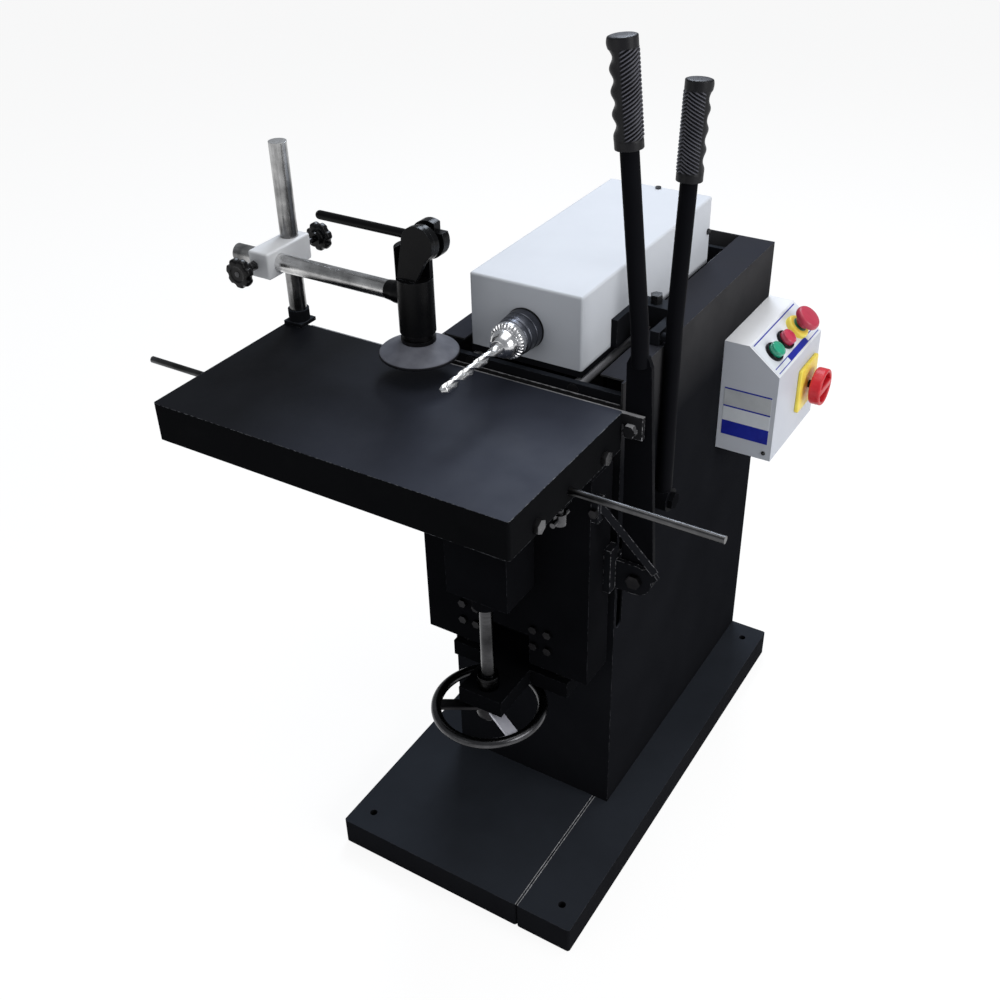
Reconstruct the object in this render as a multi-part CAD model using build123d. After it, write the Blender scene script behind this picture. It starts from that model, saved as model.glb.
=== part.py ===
from build123d import *
import math
import os

os.makedirs("parts", exist_ok=True)

# Horizontal boring machine for wood. Millimetres, +X right, +Y back, +Z up.
# The origin is the centre of the base's underside, on the floor.

# Base: two folded pans side by side, open below
BASE_WIDTH = 457.2
BASE_LENGTH = 855.0
BASE_HEIGHT = 53.0
BASE_SHEET = 4.0
BASE_SEAM_X = 128.0
BASE_CORNER = 5.0
SEAM_GAP = 0.6
ANCHOR_INSET_X = 35.5
ANCHOR_INSET_Y = 40.3
ANCHOR_HOLE = 13.0
ANCHOR_TUBE = 30.0

# Column: folded sheet with inward flanges along its open top
COLUMN_WIDTH = 310.0
COLUMN_DEPTH = 580.6
COLUMN_HEIGHT = 846.0
COLUMN_SETBACK = 0.5
COLUMN_SHEET = 3.0
FLANGE_LEFT = 38.0
FLANGE_RIGHT = 65.0
FLANGE_RIGHT_FRONT = 41.0
FLANGE_STEP_BACK = 273.6
FLANGE_SETBACK = 9.6
FLANGE_RISE = 10.0
FRONT_WALL_DROP = 27.0
PANEL_SCREW = 9.0
PANEL_SCREW_HEAD = 4.0
PANEL_SCREW_ROWS = 3
PANEL_SCREW_PITCH = 350.0
PANEL_SCREW_INSET = 16.0

# Head slide
SPINDLE_X = -15.0
SPINDLE_ABOVE_COLUMN = 48.0
ROD_DIA = 18.0
ROD_SPACING = 176.0
ROD_DROP = 23.0
ROD_SUPPORT = 10.0
ROD_SUPPORT_DEPTH = 56.0
REAR_SUPPORT_INSET = 20.0
HEAD_WIDTH = 188.0
HEAD_LENGTH = 450.0
HEAD_HEIGHT = 116.0
HEAD_SETBACK = 17.6
HEAD_SHEET = 2.0
HEAD_CORNER = 4.0
CARRIAGE_PLATE = 10.0
SUPPORT_GAP = 2.0
SLIDE_BLOCK_WIDTH = 36.0
SLIDE_BLOCK_LENGTH = 50.0
SLIDE_BLOCK_BELOW = 16.0
SLIDE_BLOCK_FRONT_INSET = 248.0
SLIDE_BLOCK_REAR_INSET = 30.0
RUNNING_FIT = 0.05
SEAT_FIT = 0.05
COVER_SCREW = 10.0
COVER_SCREW_HEAD = 3.0
COVER_SCREW_INSET = 10.0

# Spindle, chuck, belt drive and motor
SPINDLE_DIA = 25.0
SPINDLE_HOUSING = 70.0
SPINDLE_HOUSING_LENGTH = 110.0
SPINDLE_PEDESTAL = 60.0
HOUSING_GAP = 6.0
COVER_HOLE_CLEAR = 3.5
PULLEY_DIA = 90.0
PULLEY_WIDTH = 30.0
PULLEY_BACK = 261.0
BELT_THICK = 6.0
BELT_WIDTH = 22.0
BELT_GAP = 0.4
SHAFT_TAIL = 10.0
CHUCK_GAP = 1.5
CHUCK_REAR_DIA = 61.0
CHUCK_REAR_LENGTH = 15.0
CHUCK_CORE_DIA = 38.0
CHUCK_SLEEVE_DIA = 56.0
CHUCK_SLEEVE_LENGTH = 38.0
CHUCK_NOSE_DIA = 44.0
CHUCK_TIP_DIA = 24.0
CHUCK_NOSE_LENGTH = 21.0
CHUCK_TEETH = 24
CHUCK_TOOTH_DEPTH = 4.0
CHUCK_TOOTH_GAP = 3.2
CHUCK_SOCKET = 22.0
SIDE_GAP = 0.3
DRILL_DIA = 14.0
DRILL_REACH = 142.0
DRILL_GRIP = 18.0
DRILL_POINT = 5.0
MOTOR_DIA = 124.0
MOTOR_LENGTH = 200.0
MOTOR_DROP = 169.0
MOTOR_FOOT = 8.0
MOTOR_FOOT_WIDTH = 70.0
MOTOR_SHAFT = 19.0
MOTOR_PULLEY_GAP = 12.0
HANGER_PLATE = 8.0
HANGER_GAP = 4.0
HANGER_LENGTH = 120.0

# Feed lever, on the column's right side, and the arm that it pulls
LEVER_TUBE = 25.0
LEVER_SIDE_GAP = 1.0
FEED_PIVOT_BACK = 135.6
FEED_PIVOT_DROP = 259.0
FEED_PIN_RISE = 11.0
FEED_PIN = 14.0
FEED_PIN_CLEAR = 1.7
FEED_BEND_RISE = 51.0
FEED_TOP_BACK = 29.0
FEED_TOP_RISE = 391.0
FEED_STROKE_BACK = 95.0
FEED_STROKE_FRONT = 12.0
FEED_EYE = 40.0
FEED_STUD = 16.0
FEED_STUD_HEAD = 26.0
FEED_STUD_HEAD_LENGTH = 8.0
FEED_ARM_LENGTH = 71.0
FEED_ROOT_FRONT = 27.0
FEED_ARM_BEHIND = 42.0
FEED_ARM_THICK = 30.0
FEED_FINGER = 22.0
FEED_FINGER_WIDTH = 15.0
FEED_ARM_BOTTOM = 11.0
FEED_ARM_HEIGHT = 34.0
FEED_ARM_ROOT = 10.0
FEED_ARM_BOLT = 17.0
FEED_ARM_BOLT_HEIGHT = 14.0
FEED_ARM_BOLT_INSET = 38.0
FEED_SLOT_DEEP = 6.2
FEED_PIN_SHORT = 1.0
GRIP_DIA = 39.0
GRIP_LENGTH = 136.0
GRIP_GROOVE_DIA = 35.0
GRIP_RIBS = 9
GRIP_DISH = 4.0
GRIP_RIB_SHARE = 0.7
GRIP_END_WALL = 12.0

# Knee: a channel that slides on two upright bars in front of the column
KNEE_INSET = 4.5
KNEE_FRONT_REACH = 81.4
KNEE_REAR_GAP = 15.4
KNEE_SHEET = 6.0
KNEE_NOTCH_WIDTH = 90.0
KNEE_NOTCH_CLEAR = 30.0
KNEE_UP = 35.0
KNEE_DOWN = 55.0
GUIDE_BAR = 30.0
GUIDE_BAR_SPACING = 180.0
GUIDE_BAR_REACH = 46.4
BRACKET_GAP = 3.0
TOP_BRACKET_CLEAR = 4.0
TOP_BRACKET_HEIGHT = 30.0
LIFT_BRACKET_DROP = 531.0
LIFT_BRACKET_HEIGHT = 30.0
GUIDE_BRACKET_WIDTH = 220.0
LIFT_ARM_WIDTH = 80.0
LIFT_ARM_NOSE = 28.0
KNEE_BLOCK_HEIGHT = 50.0
KNEE_BLOCK_LOW_CLEAR = 5.0
KNEE_BLOCK_HIGH_CLEAR = 26.0
KNEE_BLOCK_INNER = 47.0
KNEE_BLOCK_DEPTH = 54.0
SADDLE_BELOW_ROD = 30.0
SADDLE_PLATE = 12.0
SADDLE_NECK_WIDTH = 150.0
SADDLE_FRONT_MARGIN = 26.0
SADDLE_REAR_GAP = 18.4
APRON_WIDTH = 110.0
APRON_DEPTH = 80.0
APRON_HEIGHT = 223.0
APRON_SHEET = 5.0
APRON_FLOOR = 12.0
KNEE_BOLT = 13.0
KNEE_BOLT_HEAD = 6.0
KNEE_BOLT_X = 54.0
KNEE_BOLT_PITCH_X = 26.0
KNEE_BOLT_PITCH_Z = 34.0

# Lift screw and handwheel
SCREW_DIA = 22.0
SCREW_REACH = 136.4
SCREW_TOP_CLEAR = 18.0
SCREW_TAIL = 26.0
SCREW_COLLAR = 36.0
SCREW_COLLAR_HEIGHT = 25.0
LIFT_NUT = 44.0
LIFT_NUT_HEIGHT = 20.0
APRON_SCREW_CLEAR = 2.0
WHEEL_DIA = 193.0
WHEEL_RIM = 17.0
WHEEL_HUB = 42.0
WHEEL_DROP = 14.0
WHEEL_HUB_BELOW = 16.0
WHEEL_SPOKES = 3
WHEEL_SPOKE_WIDTH = 20.0
WHEEL_SPOKE_THICK = 8.0
WHEEL_SPOKE_TURN = 330.0

# Table
TABLE_OVERHANG = 281.5
TABLE_WIDTH = 601.5
TABLE_COLUMN_GAP = 18.0
TABLE_DEPTH = 310.0
TABLE_BELOW_SPINDLE = 71.0
TABLE_SKIRT = 61.0
TABLE_PLATE = 6.0
TABLE_WALL = 4.0
TABLE_CORNER = 5.0
TABLE_ROD = 20.0
TABLE_ROD_DROP = 46.0
TABLE_ROD_FRONT_INSET = 67.6
TABLE_ROD_REAR_INSET = 55.4
TABLE_BLOCK_SPACING = 90.0
TABLE_BLOCK_LENGTH = 50.0
TABLE_BLOCK_WIDTH = 40.0
TABLE_BLOCK_ABOVE = 20.0
END_BOLT = 19.0
END_BOLT_HEAD = 8.0
TRAVERSE_LEFT = 45.0
TRAVERSE_RIGHT = 40.0

# Traverse lever, behind the table's rear edge, and the strip that it pushes
STRIP_THICK = 7.0
STRIP_HEIGHT = 18.0
STRIP_DROP = 3.0
STRIP_INSET = 37.5
STRIP_MARGIN = 18.0
STRIP_TAB_WIDTH = 30.0
STRIP_TAB_HEIGHT = 37.0
DRIVE_PIN_LEFT = 17.5
DRIVE_PIN_DROP = 24.0
DRIVE_PIN = 12.0
DRIVE_PIN_CLEAR = 1.1
DRIVE_PIN_TAIL = 0.6
BAR_GAP = 1.1
BAR_THICK = 8.0
BAR_PIVOT_OUT = 40.5
BAR_PIVOT_DROP = 262.0
BAR_PIVOT_RADIUS = 27.0
BAR_TOP_LEFT = 13.0
BAR_TOP_RISE = 99.0
BAR_TOP_WIDTH = 38.0
BAR_SHOULDER = 16.0
TUBE_BEND_LEFT = 3.0
TUBE_BEND_RISE = 57.0
TUBE_TOP_LEFT = 43.0
TUBE_TOP_RISE = 431.0
TUBE_FORWARD = 1.5
PIVOT_PLATE = 7.0
PIVOT_PLATE_HEIGHT = 80.0
SIDE_PLATE = 6.0
SIDE_PLATE_CLEAR = 1.5
SIDE_PLATE_FRONT = 20.0
SIDE_PLATE_MARGIN = 13.0
PIVOT_BOLT = 14.0
PIVOT_BOLT_HEAD = 22.0
PIVOT_BOLT_HEAD_LENGTH = 8.0
PIVOT_NUT_LENGTH = 9.0
STAY_WIDTH = 11.0
STAY_THICK = 5.0
STAY_TOP_RISE = 161.0
STAY_PAD_WIDTH = 18.0
STAY_PAD_BELOW = 28.0
STAY_PAD_ABOVE = 12.0
STAY_BOLT_DROP = 10.0
STAY_FOOT_RIGHT = 31.0
STAY_FOOT_UP = 23.0
STAY_LUG_WIDTH = 24.0
LOCK_BOLT = 12.0
LOCK_BOLT_SETBACK = 17.0
LOCK_BOLT_RISE = 38.0
LOCK_BOLT_HEAD = 22.0
LOCK_BOLT_HEAD_LENGTH = 9.0
LOCK_NUT_LENGTH = 10.0
LOCK_SLOT_WIDTH = 20.0
LOCK_SLOT_BELOW = 81.0

# End stop rod and its lock screw
STOP_ROD = 11.0
STOP_ROD_LEFT_REACH = 165.0
STOP_ROD_RIGHT_REACH = 223.0
STOP_ROD_INSET = 154.6
STOP_ROD_DROP = 43.0
STOP_BLOCK_LENGTH = 20.0
STOP_BLOCK_WIDTH = 28.0
STOP_BLOCK_HEIGHT = 44.0
STOP_BLOCK_BELOW = 9.0
STOP_SCREW = 10.0
STOP_SCREW_HEAD = 18.0
STOP_SCREW_HEAD_HEIGHT = 18.0
STOP_SCREW_NECK = 14.0
STOP_SCREW_BAR = 8.0
STOP_SCREW_BAR_LENGTH = 42.0

# Hold-down clamp
POST_DIA = 28.0
POST_INSET = 16.5
POST_BEHIND_TABLE = 3.6
POST_LENGTH = 294.0
SOCKET_DIA = 34.0
SOCKET_HEIGHT = 24.0
SOCKET_PLATE = 5.0
SOCKET_PLATE_WIDTH = 36.0
SOCKET_PLATE_DEPTH = 36.0
SOCKET_SEAT = 1.0
SOCKET_SEAT_GAP = 0.5
CLAMP_LEFT = 19.0
CLAMP_RIGHT = 20.0
CLAMP_REAR_BACK = 25.0
CLAMP_FRONT_REACH = 28.0
CLAMP_BELOW_ARM = 20.0
CLAMP_HEIGHT = 42.0
CLAMP_ROUND = 3.5
ARM_DIA = 28.0
ARM_FORWARD = 48.0
ARM_ABOVE_TABLE = 124.0
ARM_TAIL = 65.0
KNOB_DIA = 47.0
KNOB_LOBES = 6
KNOB_NOTCH = 12.0
KNOB_THICK = 15.0
KNOB_HUB = 24.0
KNOB_HUB_LENGTH = 9.0
ARM_KNOB_STANDOFF = 26.0
ARM_KNOB_LEFT = 8.0
POST_KNOB_STANDOFF = 38.0
KNOB_SCREW = 10.0
KNOB_TIP_GAP = 0.3
POST_KNOB_RISE = 16.0
SLEEVE_REACH = 271.0
SLEEVE_DIA = 54.0
SLEEVE_BELOW_ARM = 54.0
LEDGE_ABOVE_ARM = 30.0
CHEEK_ABOVE_ARM = 76.0
CHEEK_THICK = 9.0
TONGUE_THICK = 8.0
TONGUE_BEHIND = 6.0
TONGUE_ROUND = 13.0
TONGUE_LEFT = 26.0
SLEEVE_ARM_DEPTH = 10.0
CAM_PIN_RIGHT = 10.0
CAM_ABOVE_ARM = 83.0
CAM_OFFSET = 6.0
CAM_PIN = 14.0
CAM_FRONT_DIA = 52.0
CAM_FRONT_LENGTH = 16.0
CAM_REAR_DIA = 56.0
CAM_REAR_LENGTH = 15.0
CAM_NOTCH = 14.0
CAM_HANDLE = 13.5
CAM_HANDLE_LENGTH = 177.0
CAM_HANDLE_RISE = 10.0
FRONT_PLATE = 8.0
FRONT_PLATE_RIGHT = 10.0
FRONT_PLATE_RISE = 5.0
FRONT_PLATE_FOOT = 32.0
FRONT_PLATE_FOOT_LEFT = 18.0
PLUNGER_DIA = 30.0
PLUNGER_STEM = 14.0
PLUNGER_TOP_GAP = 3.0
PLUNGER_ROOF = 8.0
PLUNGER_STEM_DROP = 27.0
PLUNGER_NECK = 44.0
PLUNGER_NECK_LENGTH = 15.0
PLUNGER_RING = 52.0
PLUNGER_RING_HEIGHT = 6.0
FOOT_DIA = 120.0
FOOT_RIM = 5.0
FOOT_HEIGHT = 22.0
FOOT_TOP_DIA = 54.0

# Switch box on the column's right side
BOX_SETBACK = 381.6
BOX_LENGTH = 203.0
BOX_DROP = 92.0
BOX_HEIGHT = 208.0
BOX_DEPTH = 101.0
BOX_TOP_DEPTH = 44.0
BOX_SLOPE_DROP = 45.0
BOX_SHEET = 2.0
START_BACK = 40.0
STOP_BACK = 91.0
ESTOP_BACK = 144.0
BUTTON_DIA = 28.0
BUTTON_HEIGHT = 13.0
BUTTON_TRAVEL = 3.0
BUTTON_STEM = 10.0
BUTTON_STEM_LENGTH = 18.0
BEZEL_DIA = 36.0
BEZEL_HEIGHT = 6.0
BEZEL_FIT = 0.5
STEM_FIT = 0.3
ESTOP_DIA = 47.0
ESTOP_CAP = 13.0
ESTOP_NECK = 24.0
ESTOP_NECK_HEIGHT = 11.0
ESTOP_RING_DIA = 45.0
ESTOP_RING_THICK = 12.0
ESTOP_RING_FIT = 0.5
SWITCH_BACK = 143.0
SWITCH_RISE = 87.0
SWITCH_PLATE_SIZE = 84.0
SWITCH_PLATE = 7.0
SWITCH_NECK = 14.0
SWITCH_NECK_LENGTH = 10.0
SWITCH_DIA = 66.0
SWITCH_DISC = 12.0
SWITCH_HANDLE = 10.0
SWITCH_HANDLE_LENGTH = 62.0
SWITCH_HANDLE_WIDTH = 15.0
SWITCH_GAP = 0.4

# Places that follow from the sizes above
ANCHOR_SPACING_X = BASE_WIDTH - 2 * ANCHOR_INSET_X
ANCHOR_SPACING_Y = BASE_LENGTH - 2 * ANCHOR_INSET_Y
COLUMN_BACK = BASE_LENGTH / 2 - COLUMN_SETBACK
COLUMN_FRONT = COLUMN_BACK - COLUMN_DEPTH
COLUMN_SIDE = COLUMN_WIDTH / 2
COLUMN_TOP = BASE_HEIGHT + COLUMN_HEIGHT
FLANGE_TOP = COLUMN_TOP + FLANGE_RISE
SPINDLE_Z = COLUMN_TOP + SPINDLE_ABOVE_COLUMN
HEAD_LEFT = SPINDLE_X - HEAD_WIDTH / 2
HEAD_RIGHT = SPINDLE_X + HEAD_WIDTH / 2
HEAD_FRONT = COLUMN_FRONT + HEAD_SETBACK
HEAD_BACK = HEAD_FRONT + HEAD_LENGTH
PLATE_BOTTOM = COLUMN_TOP - CARRIAGE_PLATE
ROD_Z = COLUMN_TOP - ROD_DROP
ROD_XS = (SPINDLE_X - ROD_SPACING / 2, SPINDLE_X + ROD_SPACING / 2)
SUPPORT_TOP = PLATE_BOTTOM - SUPPORT_GAP
FRONT_SUPPORT_Y = COLUMN_FRONT + COLUMN_SHEET
REAR_SUPPORT_Y = COLUMN_BACK - COLUMN_SHEET - REAR_SUPPORT_INSET
MOTOR_Z = PLATE_BOTTOM - MOTOR_DROP
PULLEY_Y = HEAD_FRONT + PULLEY_BACK
MOTOR_BACK = PULLEY_Y - MOTOR_PULLEY_GAP
CHUCK_BACK = HEAD_FRONT - CHUCK_GAP
CHUCK_SLEEVE_BACK = CHUCK_BACK - CHUCK_REAR_LENGTH - SIDE_GAP
CHUCK_SLEEVE_FRONT = CHUCK_SLEEVE_BACK - CHUCK_SLEEVE_LENGTH
CHUCK_NOSE_BACK = CHUCK_SLEEVE_FRONT - SIDE_GAP
CHUCK_FRONT = CHUCK_NOSE_BACK - CHUCK_NOSE_LENGTH
FEED_X = COLUMN_SIDE + LEVER_SIDE_GAP + LEVER_TUBE / 2
FEED_PIVOT_Y = COLUMN_FRONT + FEED_PIVOT_BACK
FEED_PIVOT_Z = COLUMN_TOP - FEED_PIVOT_DROP
FEED_BEND_Z = COLUMN_TOP + FEED_BEND_RISE
FEED_TOP_Y = FEED_PIVOT_Y + FEED_TOP_BACK
FEED_TOP_Z = COLUMN_TOP + FEED_TOP_RISE
ARM_RIGHT = HEAD_RIGHT + FEED_ARM_LENGTH
ARM_BOTTOM = COLUMN_TOP + FEED_ARM_BOTTOM
ARM_TOP = ARM_BOTTOM + FEED_ARM_HEIGHT
FEED_PIN_Z = ARM_BOTTOM + FEED_PIN_RISE
TABLE_TOP = SPINDLE_Z - TABLE_BELOW_SPINDLE
KNEE_SIDE = COLUMN_SIDE - KNEE_INSET
KNEE_FRONT = COLUMN_FRONT - KNEE_FRONT_REACH
KNEE_REAR = COLUMN_FRONT - KNEE_REAR_GAP
KNEE_INNER = KNEE_SIDE - KNEE_SHEET
KNEE_PLATE_BACK = KNEE_FRONT + KNEE_SHEET
GUIDE_Y = COLUMN_FRONT - GUIDE_BAR_REACH
GUIDE_XS = (-GUIDE_BAR_SPACING / 2, GUIDE_BAR_SPACING / 2)
LIFT_BRACKET_Z = TABLE_TOP - LIFT_BRACKET_DROP
LIFT_BRACKET_TOP = LIFT_BRACKET_Z + LIFT_BRACKET_HEIGHT
KNEE_BOTTOM = LIFT_BRACKET_Z + KNEE_DOWN
KNEE_BLOCK_LOW_Z = LIFT_BRACKET_TOP + KNEE_DOWN + KNEE_BLOCK_LOW_CLEAR
TABLE_LEFT = -COLUMN_SIDE - TABLE_OVERHANG
TABLE_RIGHT = TABLE_LEFT + TABLE_WIDTH
TABLE_REAR = COLUMN_FRONT - TABLE_COLUMN_GAP
TABLE_FRONT = TABLE_REAR - TABLE_DEPTH
SKIRT_BOTTOM = TABLE_TOP - TABLE_SKIRT
TABLE_ROD_Z = TABLE_TOP - TABLE_ROD_DROP
TABLE_ROD_YS = (TABLE_FRONT + TABLE_ROD_FRONT_INSET, TABLE_REAR - TABLE_ROD_REAR_INSET)
SADDLE_TOP = TABLE_ROD_Z - SADDLE_BELOW_ROD
SADDLE_BOTTOM = SADDLE_TOP - SADDLE_PLATE
SADDLE_FRONT = TABLE_ROD_YS[0] - SADDLE_FRONT_MARGIN
TOP_BRACKET_TOP = SADDLE_BOTTOM - KNEE_DOWN - TOP_BRACKET_CLEAR
TOP_BRACKET_Z = TOP_BRACKET_TOP - TOP_BRACKET_HEIGHT
KNEE_BLOCK_HIGH_Z = TOP_BRACKET_Z - KNEE_UP - KNEE_BLOCK_HIGH_CLEAR - KNEE_BLOCK_HEIGHT
SCREW_Y = COLUMN_FRONT - SCREW_REACH
SCREW_TOP = SADDLE_BOTTOM - KNEE_DOWN - SCREW_TOP_CLEAR
WHEEL_Z = LIFT_BRACKET_Z - WHEEL_DROP
SCREW_BOTTOM = WHEEL_Z - SCREW_TAIL
APRON_FRONT = KNEE_FRONT - APRON_DEPTH
APRON_BOTTOM = SADDLE_BOTTOM - APRON_HEIGHT
STRIP_BACK = TABLE_REAR + STRIP_THICK
STRIP_TOP = TABLE_TOP - STRIP_DROP
BAR_PIVOT_X = COLUMN_SIDE + BAR_PIVOT_OUT
DRIVE_PIN_X = BAR_PIVOT_X - DRIVE_PIN_LEFT
DRIVE_PIN_Z = STRIP_TOP - DRIVE_PIN_DROP
BAR_PIVOT_Z = DRIVE_PIN_Z - BAR_PIVOT_DROP
BAR_TOP_X = BAR_PIVOT_X - BAR_TOP_LEFT
BAR_TOP_Z = DRIVE_PIN_Z + BAR_TOP_RISE
TUBE_BEND_X = BAR_TOP_X - TUBE_BEND_LEFT
TUBE_BEND_Z = BAR_TOP_Z + TUBE_BEND_RISE
TUBE_TOP_X = BAR_TOP_X - TUBE_TOP_LEFT
TUBE_TOP_Z = BAR_TOP_Z + TUBE_TOP_RISE
STAY_TOP_Z = BAR_PIVOT_Z + STAY_TOP_RISE
STRIP_LEFT = TABLE_LEFT + STRIP_INSET
STRIP_RIGHT = DRIVE_PIN_X + STRIP_MARGIN
BAR_FRONT = STRIP_BACK + BAR_GAP
BAR_BACK = BAR_FRONT + BAR_THICK
TUBE_Y = (BAR_FRONT + BAR_BACK) / 2 - TUBE_FORWARD
PIVOT_PLATE_Z = BAR_PIVOT_Z - BAR_PIVOT_RADIUS
SIDE_PLATE_IN = COLUMN_SIDE + SIDE_PLATE_CLEAR
SIDE_PLATE_OUT = SIDE_PLATE_IN + SIDE_PLATE
LOCK_BOLT_Y = COLUMN_FRONT + LOCK_BOLT_SETBACK
LOCK_BOLT_Z = PIVOT_PLATE_Z + LOCK_BOLT_RISE
LOCK_SLOT_BOTTOM = LOCK_BOLT_Z - KNEE_DOWN - LOCK_SLOT_BELOW
STOP_ROD_LEFT = TABLE_LEFT - STOP_ROD_LEFT_REACH
STOP_ROD_RIGHT = TABLE_RIGHT + STOP_ROD_RIGHT_REACH
STOP_ROD_Y = TABLE_FRONT + STOP_ROD_INSET
STOP_ROD_Z = TABLE_TOP - STOP_ROD_DROP
STOP_BLOCK_BOTTOM = SKIRT_BOTTOM - STOP_BLOCK_BELOW
STOP_BLOCK_RIGHT = TABLE_RIGHT - TABLE_WALL
STOP_BLOCK_X = STOP_BLOCK_RIGHT - STOP_BLOCK_LENGTH / 2
POST_X = TABLE_LEFT + POST_INSET
POST_Y = TABLE_REAR + POST_BEHIND_TABLE
POST_BOTTOM = TABLE_TOP - SOCKET_SEAT
ARM_LEFT = POST_X - ARM_TAIL
ARM_Y = POST_Y - ARM_FORWARD
ARM_Z = TABLE_TOP + ARM_ABOVE_TABLE
CLAMP_BOTTOM = ARM_Z - CLAMP_BELOW_ARM
CLAMP_TOP = CLAMP_BOTTOM + CLAMP_HEIGHT
CLAMP_FRONT = ARM_Y - CLAMP_FRONT_REACH
CLAMP_BACK = POST_Y + CLAMP_REAR_BACK
POST_KNOB_Z = CLAMP_BOTTOM + POST_KNOB_RISE
ARM_KNOB_X = POST_X - ARM_KNOB_LEFT
SLEEVE_X = POST_X + SLEEVE_REACH
SLEEVE_RADIUS = SLEEVE_DIA / 2
SLEEVE_BOTTOM = ARM_Z - SLEEVE_BELOW_ARM
SLEEVE_LEDGE = ARM_Z + LEDGE_ABOVE_ARM
SLEEVE_CHEEK_TOP = ARM_Z + CHEEK_ABOVE_ARM
TONGUE_FRONT = ARM_Y + TONGUE_BEHIND
TONGUE_BACK = TONGUE_FRONT + TONGUE_THICK
CAM_X = SLEEVE_X + CAM_PIN_RIGHT
CAM_Z = ARM_Z + CAM_ABOVE_ARM
CAM_FRONT_BACK = TONGUE_FRONT - SIDE_GAP
CAM_FRONT_FRONT = CAM_FRONT_BACK - CAM_FRONT_LENGTH
CAM_FRONT_MID = (CAM_FRONT_FRONT + CAM_FRONT_BACK) / 2
STEM_TOP = CAM_Z - PLUNGER_STEM_DROP
PLUNGER_SHOULDER_Z = SLEEVE_LEDGE - PLUNGER_ROOF - PLUNGER_TOP_GAP
FOOT_TOP = SLEEVE_BOTTOM - PLUNGER_NECK_LENGTH
FOOT_BOTTOM = FOOT_TOP - FOOT_HEIGHT
BOX_RIGHT = COLUMN_SIDE + BOX_DEPTH
BOX_TOP = COLUMN_TOP - BOX_DROP
BOX_BOTTOM = BOX_TOP - BOX_HEIGHT
BOX_FRONT = COLUMN_FRONT + BOX_SETBACK
BOX_BACK = BOX_FRONT + BOX_LENGTH
START_Y = BOX_FRONT + START_BACK
STOP_Y = BOX_FRONT + STOP_BACK
ESTOP_Y = BOX_FRONT + ESTOP_BACK
SWITCH_Y = BOX_FRONT + SWITCH_BACK
SWITCH_Z = BOX_BOTTOM + SWITCH_RISE
SLOPE_LEFT = COLUMN_SIDE + BOX_TOP_DEPTH
SLOPE_LOW = BOX_TOP - BOX_SLOPE_DROP


def block(x0, x1, y0, y1, z0, z1):
    """A box between two opposite corners."""
    centre = Pos((x0 + x1) / 2, (y0 + y1) / 2, (z0 + z1) / 2)
    return centre * Box(x1 - x0, y1 - y0, z1 - z0)


def rod_x(x0, x1, y, z, dia):
    """A round bar along X."""
    return Pos((x0 + x1) / 2, y, z) * Rot(0, 90, 0) * Cylinder(dia / 2, x1 - x0)


def rod_y(x, y0, y1, z, dia):
    """A round bar along Y."""
    return Pos(x, (y0 + y1) / 2, z) * Rot(90, 0, 0) * Cylinder(dia / 2, y1 - y0)


def rod_z(x, y, z0, z1, dia):
    """A round bar along Z."""
    return Pos(x, y, (z0 + z1) / 2) * Cylinder(dia / 2, z1 - z0)


def cone_y(x, z, y_big, dia_big, y_small, dia_small):
    """A round taper along Y; the wide end lies behind the narrow end."""
    place = Pos(x, (y_big + y_small) / 2, z) * Rot(90, 0, 0)
    return place * Cone(dia_big / 2, dia_small / 2, y_big - y_small)


def hex_head(across, length):
    """A hexagon bolt head standing on the local XY plane."""
    outline = RegularPolygon(across / 2, 6, major_radius=False)
    return extrude(outline, length)


def plate_xz(points, y0, y1):
    """A flat plate with its outline in the XZ plane, between two Y planes."""
    outline = Plane.XZ * Polygon(*points, align=None)
    return Pos(0, y1, 0) * extrude(outline, y1 - y0)


def save(name, *solids):
    """Writes one node; several solids make a group."""
    shape = solids[0] if len(solids) == 1 else Compound(children=list(solids))
    export_step(shape, f"parts/{name}.step")


# Base pans
def base_pan(x0, x1, hole_x):
    """One folded pan with its two anchor tubes."""
    half = BASE_LENGTH / 2
    pan = block(x0, x1, -half, half, 0, BASE_HEIGHT)
    pan = fillet(pan.edges().filter_by(Axis.Z), BASE_CORNER)
    pan -= block(
        x0 + BASE_SHEET, x1 - BASE_SHEET,
        BASE_SHEET - half, half - BASE_SHEET,
        0, BASE_HEIGHT - BASE_SHEET,
    )
    for hole_y in (-ANCHOR_SPACING_Y / 2, ANCHOR_SPACING_Y / 2):
        pan += rod_z(hole_x, hole_y, 0, BASE_HEIGHT - BASE_SHEET, ANCHOR_TUBE)
        pan -= rod_z(hole_x, hole_y, 0, BASE_HEIGHT, ANCHOR_HOLE)
    return pan


save("base_pan_wide", base_pan(-BASE_WIDTH / 2, BASE_SEAM_X - SEAM_GAP / 2, -ANCHOR_SPACING_X / 2))
save("base_pan_narrow", base_pan(BASE_SEAM_X + SEAM_GAP / 2, BASE_WIDTH / 2, ANCHOR_SPACING_X / 2))


# Column
def column_side_sheet(side, front_flange, rear_flange):
    """One side wall with its inward top flange, whose width may step; side is -1 for left, 1 for right."""
    outer = side * COLUMN_SIDE
    inner = side * (COLUMN_SIDE - COLUMN_SHEET)
    y1 = COLUMN_BACK - COLUMN_SHEET
    sheet = block(min(outer, inner), max(outer, inner), COLUMN_FRONT, y1, BASE_HEIGHT, FLANGE_TOP)
    z0 = FLANGE_TOP - COLUMN_SHEET
    y0 = COLUMN_FRONT + FLANGE_SETBACK
    for flange in (front_flange, rear_flange):
        edge = side * (COLUMN_SIDE - flange)
        sheet += block(min(outer, edge), max(outer, edge), y0, y1, z0, FLANGE_TOP)
        y0 = COLUMN_FRONT + FLANGE_STEP_BACK
    return sheet


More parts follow.
